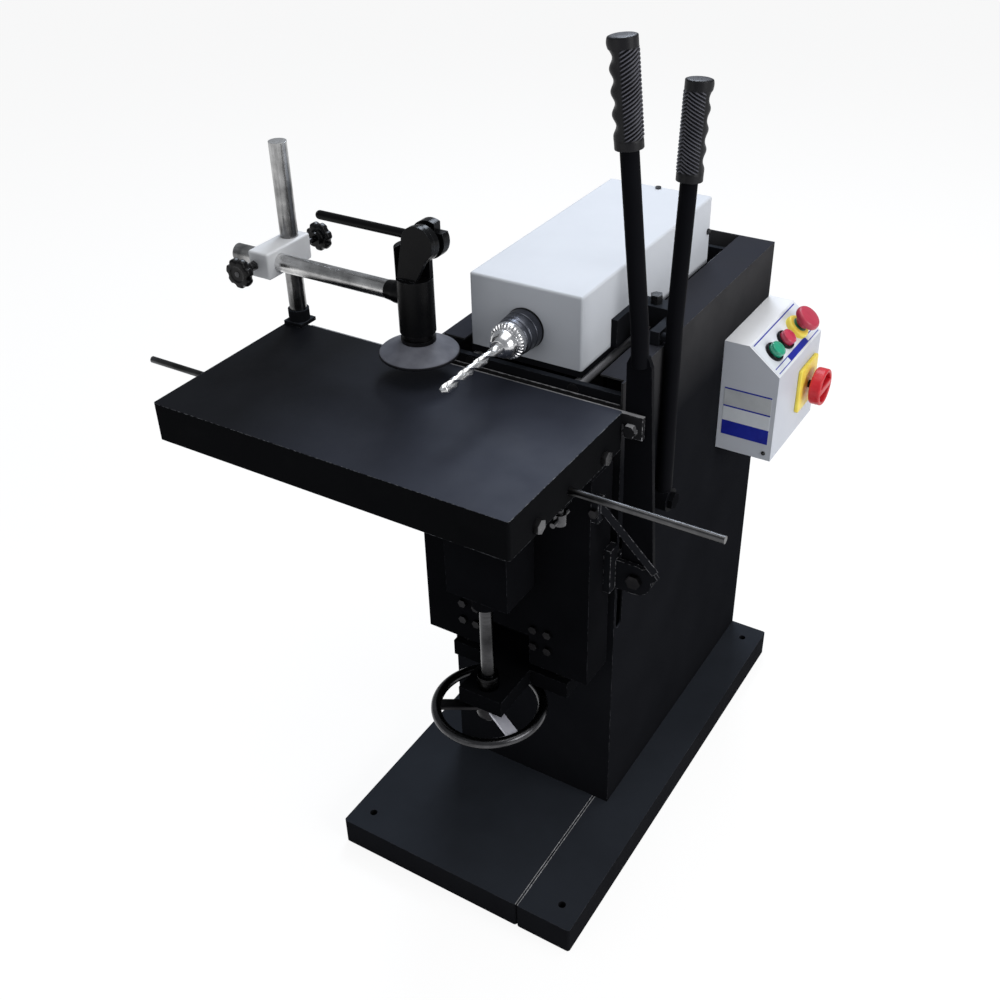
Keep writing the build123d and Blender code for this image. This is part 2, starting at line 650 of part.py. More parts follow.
def lock_slot():
    """The upright slot in the right wall that the knee's lock bolt runs in."""
    x0 = COLUMN_SIDE - COLUMN_SHEET
    top = LOCK_BOLT_Z + KNEE_UP
    slot = block(
        x0, COLUMN_SIDE,
        LOCK_BOLT_Y - LOCK_SLOT_WIDTH / 2, LOCK_BOLT_Y + LOCK_SLOT_WIDTH / 2,
        LOCK_SLOT_BOTTOM, top,
    )
    for end_z in (LOCK_SLOT_BOTTOM, top):
        slot += rod_x(x0, COLUMN_SIDE, LOCK_BOLT_Y, end_z, LOCK_SLOT_WIDTH)
    return slot


def column_shell():
    """Left wall, right wall and the lower front wall, folded from one sheet."""
    inner = COLUMN_SIDE - COLUMN_SHEET
    front_top = COLUMN_TOP - FRONT_WALL_DROP
    shell = column_side_sheet(-1, FLANGE_LEFT, FLANGE_LEFT)
    shell += block(-inner, inner, COLUMN_FRONT, COLUMN_FRONT + COLUMN_SHEET, BASE_HEIGHT, front_top)
    shell += column_side_sheet(1, FLANGE_RIGHT_FRONT, FLANGE_RIGHT)
    return shell - lock_slot()


def back_panel_screws():
    """Round screw heads down both edges of the back panel."""
    heads = []
    for side in (-1, 1):
        x = side * (COLUMN_SIDE - PANEL_SCREW_INSET)
        for row in range(PANEL_SCREW_ROWS):
            step = row - (PANEL_SCREW_ROWS - 1) / 2
            z = (BASE_HEIGHT + COLUMN_TOP) / 2 + step * PANEL_SCREW_PITCH
            heads.append(rod_y(x, COLUMN_BACK, COLUMN_BACK + PANEL_SCREW_HEAD, z, PANEL_SCREW))
    return heads


save("column_shell", column_shell())
save("column_back", block(
    -COLUMN_SIDE, COLUMN_SIDE, COLUMN_BACK - COLUMN_SHEET, COLUMN_BACK, BASE_HEIGHT, FLANGE_TOP,
))
save("back_panel_screws", *back_panel_screws())


# Head guide rods and their supports
def head_guide_rods():
    y1 = REAR_SUPPORT_Y + ROD_SUPPORT
    return [rod_y(x, FRONT_SUPPORT_Y, y1, ROD_Z, ROD_DIA) for x in ROD_XS]


def rod_support(y0):
    """A cross plate between the column's walls, bored for both rods."""
    half = COLUMN_SIDE - COLUMN_SHEET
    plate = block(-half, half, y0, y0 + ROD_SUPPORT, SUPPORT_TOP - ROD_SUPPORT_DEPTH, SUPPORT_TOP)
    for x in ROD_XS:
        plate -= rod_y(x, y0, y0 + ROD_SUPPORT, ROD_Z, ROD_DIA + 2 * SEAT_FIT)
    return plate


save("head_guide_rods", *head_guide_rods())
save("rod_supports", rod_support(FRONT_SUPPORT_Y), rod_support(REAR_SUPPORT_Y))


# Head carriage
def carriage_plate():
    """Sliding plate with a belt opening, and the hanger that carries the motor."""
    plate = block(HEAD_LEFT, HEAD_RIGHT, HEAD_FRONT, HEAD_BACK, PLATE_BOTTOM, COLUMN_TOP)
    half_slot = PULLEY_DIA / 2 + 2 * BELT_THICK
    plate -= block(
        SPINDLE_X - half_slot, SPINDLE_X + half_slot,
        PULLEY_Y - BELT_THICK, PULLEY_Y + PULLEY_WIDTH + BELT_THICK,
        PLATE_BOTTOM, COLUMN_TOP,
    )
    inner = MOTOR_DIA / 2 + HANGER_GAP
    outer = inner + HANGER_PLATE
    y1 = MOTOR_BACK - HANGER_GAP
    y0 = y1 - HANGER_LENGTH
    shelf_top = MOTOR_Z - MOTOR_DIA / 2 - MOTOR_FOOT
    shelf_bottom = shelf_top - HANGER_PLATE
    for side in (-1, 1):
        xs = sorted((SPINDLE_X + side * inner, SPINDLE_X + side * outer))
        plate += block(xs[0], xs[1], y0, y1, shelf_bottom, PLATE_BOTTOM)
    return plate + block(SPINDLE_X - outer, SPINDLE_X + outer, y0, y1, shelf_bottom, shelf_top)


def slide_block(x, y):
    """One bored block under the plate, centred on (x, y)."""
    body = block(
        x - SLIDE_BLOCK_WIDTH / 2, x + SLIDE_BLOCK_WIDTH / 2,
        y - SLIDE_BLOCK_LENGTH / 2, y + SLIDE_BLOCK_LENGTH / 2,
        ROD_Z - SLIDE_BLOCK_BELOW, PLATE_BOTTOM,
    )
    bore = ROD_DIA + 2 * RUNNING_FIT
    return body - rod_y(x, y - SLIDE_BLOCK_LENGTH / 2, y + SLIDE_BLOCK_LENGTH / 2, ROD_Z, bore)


def head_slide_blocks():
    front = HEAD_FRONT + SLIDE_BLOCK_FRONT_INSET + SLIDE_BLOCK_LENGTH / 2
    rear = HEAD_BACK - SLIDE_BLOCK_REAR_INSET - SLIDE_BLOCK_LENGTH / 2
    return [slide_block(x, y) for x in ROD_XS for y in (front, rear)]


def head_cover():
    """Folded cover, open below, with a hole in front for the spindle."""
    top = COLUMN_TOP + HEAD_HEIGHT
    cover = block(HEAD_LEFT, HEAD_RIGHT, HEAD_FRONT, HEAD_BACK, COLUMN_TOP, top)
    upper = cover.edges().filter_by(Axis.Z) + cover.faces().sort_by(Axis.Z)[-1].edges()
    cover = fillet(upper, HEAD_CORNER)
    cover -= block(
        HEAD_LEFT + HEAD_SHEET, HEAD_RIGHT - HEAD_SHEET,
        HEAD_FRONT + HEAD_SHEET, HEAD_BACK - HEAD_SHEET,
        COLUMN_TOP, top - HEAD_SHEET,
    )
    hole = CHUCK_SLEEVE_DIA + 2 * COVER_HOLE_CLEAR
    return cover - rod_y(SPINDLE_X, HEAD_FRONT, HEAD_FRONT + HEAD_SHEET, SPINDLE_Z, hole)


def cover_screws():
    """One screw on each side and one on top, all near the cover's back edge."""
    y = HEAD_BACK - COVER_SCREW_INSET
    z = COLUMN_TOP + HEAD_HEIGHT / 2
    top = COLUMN_TOP + HEAD_HEIGHT
    return [
        rod_x(HEAD_RIGHT, HEAD_RIGHT + COVER_SCREW_HEAD, y, z, COVER_SCREW),
        rod_x(HEAD_LEFT - COVER_SCREW_HEAD, HEAD_LEFT, y, z, COVER_SCREW),
        rod_z(SPINDLE_X, y, top, top + COVER_SCREW_HEAD, COVER_SCREW),
    ]


save("carriage_plate", carriage_plate())
save("head_slide_blocks", *head_slide_blocks())
save("head_cover", head_cover())


# Spindle, chuck and drill
def spindle_housing():
    """Plain-bearing housing on a pedestal."""
    y0 = HEAD_FRONT + HEAD_SHEET + HOUSING_GAP
    y1 = y0 + SPINDLE_HOUSING_LENGTH
    body = rod_y(SPINDLE_X, y0, y1, SPINDLE_Z, SPINDLE_HOUSING)
    half = SPINDLE_PEDESTAL / 2
    body += block(SPINDLE_X - half, SPINDLE_X + half, y0, y1, COLUMN_TOP, SPINDLE_Z)
    return body - rod_y(SPINDLE_X, y0, y1, SPINDLE_Z, SPINDLE_DIA + 2 * RUNNING_FIT)


def spindle_shaft():
    """Shaft with its pulley at the back."""
    y1 = PULLEY_Y + PULLEY_WIDTH
    shaft = rod_y(SPINDLE_X, CHUCK_BACK - CHUCK_SOCKET, y1 + SHAFT_TAIL, SPINDLE_Z, SPINDLE_DIA)
    return shaft + rod_y(SPINDLE_X, PULLEY_Y, y1, SPINDLE_Z, PULLEY_DIA)


def chuck_body():
    """Rear collar, core and conical nose, bored for the spindle and the drill."""
    body = rod_y(SPINDLE_X, CHUCK_BACK - CHUCK_REAR_LENGTH, CHUCK_BACK, SPINDLE_Z, CHUCK_REAR_DIA)
    body += rod_y(SPINDLE_X, CHUCK_NOSE_BACK, CHUCK_BACK, SPINDLE_Z, CHUCK_CORE_DIA)
    body += cone_y(SPINDLE_X, SPINDLE_Z, CHUCK_NOSE_BACK, CHUCK_NOSE_DIA, CHUCK_FRONT, CHUCK_TIP_DIA)
    body -= rod_y(SPINDLE_X, CHUCK_BACK - CHUCK_SOCKET, CHUCK_BACK, SPINDLE_Z, SPINDLE_DIA + 2 * SEAT_FIT)
    return body - rod_y(SPINDLE_X, CHUCK_FRONT, CHUCK_FRONT + DRILL_GRIP, SPINDLE_Z, DRILL_DIA + 2 * SEAT_FIT)


def chuck_sleeve():
    """Ring around the core with key teeth cut in its front rim."""
    ring = rod_y(SPINDLE_X, CHUCK_SLEEVE_FRONT, CHUCK_SLEEVE_BACK, SPINDLE_Z, CHUCK_SLEEVE_DIA)
    ring -= rod_y(
        SPINDLE_X, CHUCK_SLEEVE_FRONT, CHUCK_SLEEVE_BACK, SPINDLE_Z, CHUCK_CORE_DIA + 2 * RUNNING_FIT,
    )
    for tooth in range(CHUCK_TEETH):
        turn = Rot(0, tooth * 360 / CHUCK_TEETH, 0)
        notch = Box(CHUCK_TOOTH_GAP, CHUCK_TOOTH_DEPTH, CHUCK_SLEEVE_DIA - CHUCK_NOSE_DIA)
        rim = Pos(0, CHUCK_TOOTH_DEPTH / 2, CHUCK_SLEEVE_DIA / 2)
        ring -= Pos(SPINDLE_X, CHUCK_SLEEVE_FRONT, SPINDLE_Z) * turn * rim * notch
    return ring


def drill_bit():
    """Plain round drill with a cone point."""
    tip = CHUCK_FRONT - DRILL_REACH
    bit = rod_y(SPINDLE_X, tip + DRILL_POINT, CHUCK_FRONT + DRILL_GRIP, SPINDLE_Z, DRILL_DIA)
    return bit + cone_y(SPINDLE_X, SPINDLE_Z, tip + DRILL_POINT, DRILL_DIA, tip, DRILL_DIA / 10)


save("spindle_housing", spindle_housing())
save("spindle_shaft", spindle_shaft())
save("chuck_body", chuck_body())
save("chuck_sleeve", chuck_sleeve())
save("drill_bit", drill_bit())


# Motor and belt
def motor():
    """Round motor on a foot, bored for its shaft."""
    y0 = MOTOR_BACK - MOTOR_LENGTH
    half = MOTOR_FOOT_WIDTH / 2
    y1 = MOTOR_BACK - HANGER_GAP
    body = rod_y(SPINDLE_X, y0, MOTOR_BACK, MOTOR_Z, MOTOR_DIA)
    foot_z = MOTOR_Z - MOTOR_DIA / 2 - MOTOR_FOOT
    body += block(SPINDLE_X - half, SPINDLE_X + half, y1 - HANGER_LENGTH, y1, foot_z, MOTOR_Z)
    return body - rod_y(SPINDLE_X, y0, MOTOR_BACK, MOTOR_Z, MOTOR_SHAFT + 2 * RUNNING_FIT)


def motor_shaft():
    """Shaft with its pulley."""
    y1 = PULLEY_Y + PULLEY_WIDTH
    shaft = rod_y(SPINDLE_X, MOTOR_BACK - MOTOR_LENGTH, y1 + SHAFT_TAIL, MOTOR_Z, MOTOR_SHAFT)
    return shaft + rod_y(SPINDLE_X, PULLEY_Y, y1, MOTOR_Z, PULLEY_DIA)


def belt_loop(radius, y0, y1):
    """A filled loop around both pulleys."""
    loop = block(SPINDLE_X - radius, SPINDLE_X + radius, y0, y1, MOTOR_Z, SPINDLE_Z)
    for z in (MOTOR_Z, SPINDLE_Z):
        loop += rod_y(SPINDLE_X, y0, y1, z, 2 * radius)
    return loop


def drive_belt():
    inner = PULLEY_DIA / 2 + BELT_GAP
    y0 = PULLEY_Y + (PULLEY_WIDTH - BELT_WIDTH) / 2
    y1 = y0 + BELT_WIDTH
    return belt_loop(inner + BELT_THICK, y0, y1) - belt_loop(inner, y0, y1)


save("motor", motor())
save("motor_shaft", motor_shaft())
save("drive_belt", drive_belt())


# Feed lever and feed arm
def feed_path(z0, z1):
    """The feed lever's centre line from z0 up to z1 on its leaning part."""
    lean = (FEED_TOP_Y - FEED_PIVOT_Y) / (FEED_TOP_Z - FEED_BEND_Z)
    low = (FEED_X, FEED_PIVOT_Y, z0)
    bend = (FEED_X, FEED_PIVOT_Y, FEED_BEND_Z)
    high = (FEED_X, FEED_PIVOT_Y + lean * (z1 - FEED_BEND_Z), z1)
    return low, bend, high


def lever_grip(base, top, bore):
    """Ribbed round grip from base to top with a dished end, bored for its tube."""
    axis = Vector(*top) - Vector(*base)
    length = axis.length
    pitch = length / GRIP_RIBS
    grip = Pos(0, 0, length / 2) * Cylinder(GRIP_GROOVE_DIA / 2, length)
    for rib in range(GRIP_RIBS):
        grip += Pos(0, 0, rib * pitch + pitch / 2) * Cylinder(GRIP_DIA / 2, pitch * GRIP_RIB_SHARE)
    dish = (GRIP_GROOVE_DIA / 2) ** 2 / (2 * GRIP_DISH) + GRIP_DISH / 2
    grip -= Pos(0, 0, length + dish - GRIP_DISH) * Sphere(dish)
    depth = length - GRIP_END_WALL
    grip -= Pos(0, 0, depth / 2) * Cylinder(bore / 2, depth)
    return Plane(origin=base, z_dir=axis) * grip


def lean_point(low, high, back):
    """The point a given distance back from high towards low."""
    axis = (Vector(*high) - Vector(*low)).normalized()
    return tuple(Vector(*high) - axis * back)


def lever_tube(points, dia):
    """Round bar along two straight stretches with a ball at the bend."""
    low, bend, high = points
    tube = Pos(*bend) * Sphere(dia / 2)
    for start, end in ((low, bend), (bend, high)):
        axis = Vector(*end) - Vector(*start)
        bar = Pos(0, 0, axis.length / 2) * Cylinder(dia / 2, axis.length)
        tube += Plane(origin=start, z_dir=axis) * bar
    return tube


def feed_slot():
    """The long blind hole on the lever's inner side that the feed pin runs in."""
    reach = FEED_PIN_Z - FEED_PIVOT_Z
    stroke = max(FEED_STROKE_BACK, FEED_STROKE_FRONT)
    far = math.hypot(reach, stroke) - reach + FEED_PIN_CLEAR
    width = FEED_PIN + 2 * FEED_PIN_CLEAR
    x0 = FEED_X - LEVER_TUBE
    x1 = FEED_X + FEED_SLOT_DEEP
    slot = block(
        x0, x1, FEED_PIVOT_Y - width / 2, FEED_PIVOT_Y + width / 2,
        FEED_PIN_Z, FEED_PIN_Z + far,
    )
    for z in (FEED_PIN_Z, FEED_PIN_Z + far):
        slot += rod_x(x0, x1, FEED_PIVOT_Y, z, width)
    return slot


def feed_lever():
    """Bent tube with a pivot eye at its foot and a slot for the feed pin."""
    points = feed_path(FEED_PIVOT_Z, FEED_TOP_Z)
    top = lean_point(points[1], points[2], GRIP_END_WALL)
    lever = lever_tube((points[0], points[1], top), LEVER_TUBE)
    half = LEVER_TUBE / 2
    lever += rod_x(FEED_X - half, FEED_X + half, FEED_PIVOT_Y, FEED_PIVOT_Z, FEED_EYE)
    lever -= rod_x(FEED_X - half, FEED_X + half, FEED_PIVOT_Y, FEED_PIVOT_Z, FEED_STUD + 2 * RUNNING_FIT)
    return lever - feed_slot()


def feed_grip():
    points = feed_path(FEED_PIVOT_Z, FEED_TOP_Z)
    base = lean_point(points[1], points[2], GRIP_LENGTH)
    return lever_grip(base, points[2], LEVER_TUBE + 2 * SEAT_FIT)


def feed_pivot_stud():
    """Stud through the column's right wall, with a head outside the lever."""
    x1 = FEED_X + LEVER_TUBE / 2 + SIDE_GAP
    stud = rod_x(COLUMN_SIDE, x1, FEED_PIVOT_Y, FEED_PIVOT_Z, FEED_STUD)
    washer = COLUMN_SIDE + LEVER_SIDE_GAP - SIDE_GAP
    stud += rod_x(COLUMN_SIDE, washer, FEED_PIVOT_Y, FEED_PIVOT_Z, FEED_STUD_HEAD)
    head = hex_head(FEED_STUD_HEAD, FEED_STUD_HEAD_LENGTH)
    return stud + Pos(x1, FEED_PIVOT_Y, FEED_PIVOT_Z) * Rot(0, 90, 0) * head


def feed_arm():
    """Root bar along the head, arm out over the right flange, and a finger with the feed pin."""
    y0 = FEED_PIVOT_Y + FEED_ARM_BEHIND
    y1 = y0 + FEED_ARM_THICK
    root_front = FEED_PIVOT_Y - FEED_ROOT_FRONT
    arm = block(HEAD_RIGHT, HEAD_RIGHT + FEED_ARM_ROOT, root_front, y1, COLUMN_TOP, ARM_TOP)
    arm += block(HEAD_RIGHT, ARM_RIGHT, y0, y1, ARM_BOTTOM, ARM_TOP)
    half = FEED_FINGER / 2
    arm += block(
        ARM_RIGHT - FEED_FINGER_WIDTH, ARM_RIGHT, FEED_PIVOT_Y - half, y0,
        FEED_PIN_Z - half, FEED_PIN_Z + half,
    )
    tip = FEED_X + FEED_SLOT_DEEP - FEED_PIN_SHORT
    return arm + rod_x(ARM_RIGHT, tip, FEED_PIVOT_Y, FEED_PIN_Z, FEED_PIN)


def feed_arm_bolt():
    """Hexagon bolt on top of the arm."""
    y = FEED_PIVOT_Y + FEED_ARM_BEHIND + FEED_ARM_THICK / 2
    place = Pos(ARM_RIGHT - FEED_ARM_BOLT_INSET, y, ARM_TOP)
    return place * hex_head(FEED_ARM_BOLT, FEED_ARM_BOLT_HEIGHT)


save("feed_lever", feed_lever())
save("feed_grip", feed_grip())
save("feed_pivot_stud", feed_pivot_stud())
save("feed_arm", feed_arm())
save("head_screws", *cover_screws(), feed_arm_bolt())


# Upright guide bars and their brackets
def guide_bars():
    return [rod_z(x, GUIDE_Y, LIFT_BRACKET_Z, TOP_BRACKET_TOP, GUIDE_BAR) for x in GUIDE_XS]


def bar_bores(z0, z1):
    bore = GUIDE_BAR + 2 * SEAT_FIT
    return rod_z(GUIDE_XS[0], GUIDE_Y, z0, z1, bore) + rod_z(GUIDE_XS[1], GUIDE_Y, z0, z1, bore)


def top_bracket():
    """Holds both bars at the top, on the column's front."""
    half = GUIDE_BRACKET_WIDTH / 2
    y0 = KNEE_PLATE_BACK + BRACKET_GAP
    body = block(-half, half, y0, COLUMN_FRONT, TOP_BRACKET_Z, TOP_BRACKET_TOP)
    return body - bar_bores(TOP_BRACKET_Z, TOP_BRACKET_TOP)


def lift_bracket():
    """Holds both bars at the foot and carries the lift screw on its arm."""
    half = GUIDE_BRACKET_WIDTH / 2
    y0 = KNEE_PLATE_BACK + BRACKET_GAP
    body = block(-half, half, y0, COLUMN_FRONT, LIFT_BRACKET_Z, LIFT_BRACKET_TOP)
    half = LIFT_ARM_WIDTH / 2
    body += block(-half, half, SCREW_Y - LIFT_ARM_NOSE, y0, LIFT_BRACKET_Z, LIFT_BRACKET_TOP)
    body -= bar_bores(LIFT_BRACKET_Z, LIFT_BRACKET_TOP)
    return body - rod_z(0, SCREW_Y, LIFT_BRACKET_Z, LIFT_BRACKET_TOP, SCREW_DIA + 2 * RUNNING_FIT)


save("guide_bars", *guide_bars())
save("guide_brackets", top_bracket(), lift_bracket())


# Knee
def knee_channel():
    """Upright channel, open at the back, notched in front over the lift arm."""
    body = block(-KNEE_SIDE, KNEE_SIDE, KNEE_FRONT, KNEE_REAR, KNEE_BOTTOM, SADDLE_BOTTOM)
    body -= block(-KNEE_INNER, KNEE_INNER, KNEE_PLATE_BACK, KNEE_REAR, KNEE_BOTTOM, SADDLE_BOTTOM)
    half = KNEE_NOTCH_WIDTH / 2
    notch_top = KNEE_BOTTOM + LIFT_BRACKET_HEIGHT + KNEE_NOTCH_CLEAR
    return body - block(-half, half, KNEE_FRONT, KNEE_PLATE_BACK, KNEE_BOTTOM, notch_top)


def knee_block(side, z0):
    """One bored block in a corner of the channel."""
    x = side * GUIDE_BAR_SPACING / 2
    xs = sorted((side * KNEE_INNER, x - side * KNEE_BLOCK_INNER))
    z1 = z0 + KNEE_BLOCK_HEIGHT
    body = block(xs[0], xs[1], KNEE_PLATE_BACK, KNEE_PLATE_BACK + KNEE_BLOCK_DEPTH, z0, z1)
    return body - rod_z(x, GUIDE_Y, z0, z1, GUIDE_BAR + 2 * RUNNING_FIT)


def knee_slide_blocks():
    return [knee_block(side, z) for side in (-1, 1) for z in (KNEE_BLOCK_LOW_Z, KNEE_BLOCK_HIGH_Z)]


def knee_apron():
    """Box in front of the channel, closed below by a floor that carries the lift nut."""
    half = APRON_WIDTH / 2
    body = block(-half, half, APRON_FRONT, KNEE_FRONT, APRON_BOTTOM, SADDLE_BOTTOM)
    body -= block(
        APRON_SHEET - half, half - APRON_SHEET, APRON_FRONT + APRON_SHEET, KNEE_FRONT,
        APRON_BOTTOM + APRON_FLOOR, SADDLE_BOTTOM,
    )
    hole = SCREW_DIA + 2 * APRON_SCREW_CLEAR
    return body - rod_z(0, SCREW_Y, APRON_BOTTOM, APRON_BOTTOM + APRON_FLOOR, hole)


def saddle_plate():
    """Flat plate on top of the knee with a narrower tongue to the front."""
    y1 = COLUMN_FRONT - SADDLE_REAR_GAP
    plate = block(-KNEE_SIDE, KNEE_SIDE, KNEE_FRONT, y1, SADDLE_BOTTOM, SADDLE_TOP)
    half = SADDLE_NECK_WIDTH / 2
    return plate + block(-half, half, SADDLE_FRONT, KNEE_FRONT, SADDLE_BOTTOM, SADDLE_TOP)


def table_slide_blocks():
    """Four bored blocks on the saddle for the table's guide rods."""
    blocks = []
    for x in (-TABLE_BLOCK_SPACING / 2, TABLE_BLOCK_SPACING / 2):
        x0 = x - TABLE_BLOCK_LENGTH / 2
        x1 = x + TABLE_BLOCK_LENGTH / 2
        for y in TABLE_ROD_YS:
            half = TABLE_BLOCK_WIDTH / 2
            body = block(x0, x1, y - half, y + half, SADDLE_TOP, TABLE_ROD_Z + TABLE_BLOCK_ABOVE)
            body -= rod_x(x0, x1, y, TABLE_ROD_Z, TABLE_ROD + 2 * RUNNING_FIT)
            blocks.append(body)
    return blocks


def lift_nut():
    """Round nut under the apron's floor."""
    z0 = APRON_BOTTOM - LIFT_NUT_HEIGHT
    body = rod_z(0, SCREW_Y, z0, APRON_BOTTOM, LIFT_NUT)
    return body - rod_z(0, SCREW_Y, z0, APRON_BOTTOM, SCREW_DIA + 2 * RUNNING_FIT)


def stay():
    """Flat diagonal stay from the channel's upper side to the pivot plate."""
    top = Vector(SIDE_PLATE_OUT - STAY_THICK / 2, KNEE_FRONT + STAY_PAD_WIDTH / 2, STAY_TOP_Z)
    foot = Vector(BAR_PIVOT_X + STAY_FOOT_RIGHT, STRIP_BACK - PIVOT_PLATE / 2, BAR_PIVOT_Z + STAY_FOOT_UP)
    axis = foot - top
    across = axis.cross(Vector(0, 0, 1))
    middle = (top + foot) / 2
    bar = Plane(origin=middle, x_dir=across, z_dir=axis) * Box(STAY_THICK, STAY_WIDTH, axis.length)
    bar &= block(
        KNEE_SIDE, BAR_PIVOT_X + 2 * BAR_PIVOT_RADIUS, KNEE_FRONT, STRIP_BACK,
        PIVOT_PLATE_Z, STAY_TOP_Z + STAY_PAD_ABOVE,
    )
    room = PIVOT_BOLT_HEAD + 2 * STAY_THICK
    return bar - rod_y(BAR_PIVOT_X, KNEE_FRONT, STRIP_BACK - PIVOT_PLATE, BAR_PIVOT_Z, room)


def stay_lug():
    """Short arm of the pivot plate that the stay's foot is welded to."""
    reach = math.hypot(STAY_FOOT_RIGHT, STAY_FOOT_UP)
    turn = math.degrees(math.atan2(STAY_FOOT_UP, STAY_FOOT_RIGHT))
    bar = Pos(reach / 2, 0, 0) * Box(reach, PIVOT_PLATE, STAY_LUG_WIDTH)
    return Pos(BAR_PIVOT_X, STRIP_BACK - PIVOT_PLATE / 2, BAR_PIVOT_Z) * Rot(0, -turn, 0) * bar


def lever_bracket():
    """Side plate on the channel, rounded pivot plate with its lug, and stay, welded together."""
    body = block(
        KNEE_SIDE, SIDE_PLATE_OUT, KNEE_REAR - SIDE_PLATE_FRONT, STRIP_BACK,
        PIVOT_PLATE_Z, PIVOT_PLATE_Z + PIVOT_PLATE_HEIGHT,
    )
    z1 = BAR_PIVOT_Z + BAR_PIVOT_RADIUS
    body += block(
        SIDE_PLATE_IN, SIDE_PLATE_OUT, STRIP_BACK, LOCK_BOLT_Y + SIDE_PLATE_MARGIN,
        LOCK_BOLT_Z - SIDE_PLATE_MARGIN, z1,
    )
    y0 = STRIP_BACK - PIVOT_PLATE
    body += block(KNEE_SIDE, BAR_PIVOT_X, y0, STRIP_BACK, PIVOT_PLATE_Z, z1)
    body += rod_y(BAR_PIVOT_X, y0, STRIP_BACK, BAR_PIVOT_Z, 2 * BAR_PIVOT_RADIUS)
    body += block(
        KNEE_SIDE, SIDE_PLATE_OUT, KNEE_FRONT, KNEE_FRONT + STAY_PAD_WIDTH,
        STAY_TOP_Z - STAY_PAD_BELOW, STAY_TOP_Z + STAY_PAD_ABOVE,
    )
    body += stay() + stay_lug()
    body -= rod_y(BAR_PIVOT_X, y0, STRIP_BACK, BAR_PIVOT_Z, PIVOT_BOLT + 2 * SEAT_FIT)
    return body - rod_x(KNEE_SIDE, SIDE_PLATE_OUT, LOCK_BOLT_Y, LOCK_BOLT_Z, LOCK_BOLT + 2 * SEAT_FIT)


def lever_pivot_bolt():
    """Bolt that the traverse lever turns on, with its nut behind the lever."""
    y0 = STRIP_BACK - PIVOT_PLATE
    y1 = BAR_BACK + SIDE_GAP
    bolt = rod_y(BAR_PIVOT_X, y0, y1, BAR_PIVOT_Z, PIVOT_BOLT)
    head = hex_head(PIVOT_BOLT_HEAD, PIVOT_BOLT_HEAD_LENGTH)
    bolt += Pos(BAR_PIVOT_X, y0, BAR_PIVOT_Z) * Rot(90, 0, 0) * head
    nut = hex_head(PIVOT_BOLT_HEAD, PIVOT_NUT_LENGTH)
    return bolt + Pos(BAR_PIVOT_X, y1 + PIVOT_NUT_LENGTH, BAR_PIVOT_Z) * Rot(90, 0, 0) * nut


def knee_lock_bolt():
    """Bolt through the side plate and the column's slot, with a nut inside the column."""
    x0 = COLUMN_SIDE - COLUMN_SHEET - SIDE_GAP
    bolt = rod_x(x0, SIDE_PLATE_OUT, LOCK_BOLT_Y, LOCK_BOLT_Z, LOCK_BOLT)
    head = hex_head(LOCK_BOLT_HEAD, LOCK_BOLT_HEAD_LENGTH)
    bolt += Pos(SIDE_PLATE_OUT, LOCK_BOLT_Y, LOCK_BOLT_Z) * Rot(0, 90, 0) * head
    nut = hex_head(LOCK_BOLT_HEAD, LOCK_NUT_LENGTH)
    return bolt + Pos(x0 - LOCK_NUT_LENGTH, LOCK_BOLT_Y, LOCK_BOLT_Z) * Rot(0, 90, 0) * nut


def knee_bolts():
    """Bolt heads on the channel's front that hold the lower slide blocks, and one on the stay's pad."""
    bolts = []
    middle = KNEE_BLOCK_LOW_Z + KNEE_BLOCK_HEIGHT / 2
    head = Rot(90, 0, 0) * hex_head(KNEE_BOLT, KNEE_BOLT_HEAD)
    for side in (-1, 1):
        for x in (KNEE_BOLT_X, KNEE_BOLT_X + KNEE_BOLT_PITCH_X):
            for z in (middle - KNEE_BOLT_PITCH_Z / 2, middle + KNEE_BOLT_PITCH_Z / 2):
                bolts.append(Pos(side * x, KNEE_FRONT, z) * head)
    pad_x = (KNEE_SIDE + SIDE_PLATE_OUT) / 2
    bolts.append(Pos(pad_x, KNEE_FRONT, STAY_TOP_Z - STAY_BOLT_DROP) * head)
    return bolts


save("knee_channel", knee_channel())
save("knee_slide_blocks", *knee_slide_blocks())
save("knee_apron", knee_apron())
save("saddle_plate", saddle_plate())
save("table_slide_blocks", *table_slide_blocks())
save("lift_nut", lift_nut())
save("lever_bracket", lever_bracket())
save("knee_bolts", *knee_bolts(), lever_pivot_bolt(), knee_lock_bolt())


# Lift screw and handwheel
def lift_screw():
    """Screw with a collar that rests on the lift bracket."""
    screw = rod_z(0, SCREW_Y, SCREW_BOTTOM, SCREW_TOP, SCREW_DIA)
    z0 = LIFT_BRACKET_TOP + SIDE_GAP
    return screw + rod_z(0, SCREW_Y, z0, z0 + SCREW_COLLAR_HEIGHT, SCREW_COLLAR)


def handwheel():
    """Round rim, flat spokes and a hub under the lift bracket."""
    rim_radius = (WHEEL_DIA - WHEEL_RIM) / 2
    wheel = Pos(0, SCREW_Y, WHEEL_Z) * Torus(rim_radius, WHEEL_RIM / 2)
    for spoke in range(WHEEL_SPOKES):
        turn = Rot(0, 0, WHEEL_SPOKE_TURN + spoke * 360 / WHEEL_SPOKES)
        arm = Box(rim_radius, WHEEL_SPOKE_WIDTH, WHEEL_SPOKE_THICK)
        wheel += Pos(0, SCREW_Y, WHEEL_Z) * turn * Pos(rim_radius / 2, 0, 0) * arm
    hub_top = LIFT_BRACKET_Z - SIDE_GAP
    hub_bottom = WHEEL_Z - WHEEL_HUB_BELOW
    wheel += rod_z(0, SCREW_Y, hub_bottom, hub_top, WHEEL_HUB)
    return wheel - rod_z(0, SCREW_Y, hub_bottom, hub_top, SCREW_DIA + 2 * SEAT_FIT)


save("lift_screw", lift_screw())
save("handwheel", handwheel())


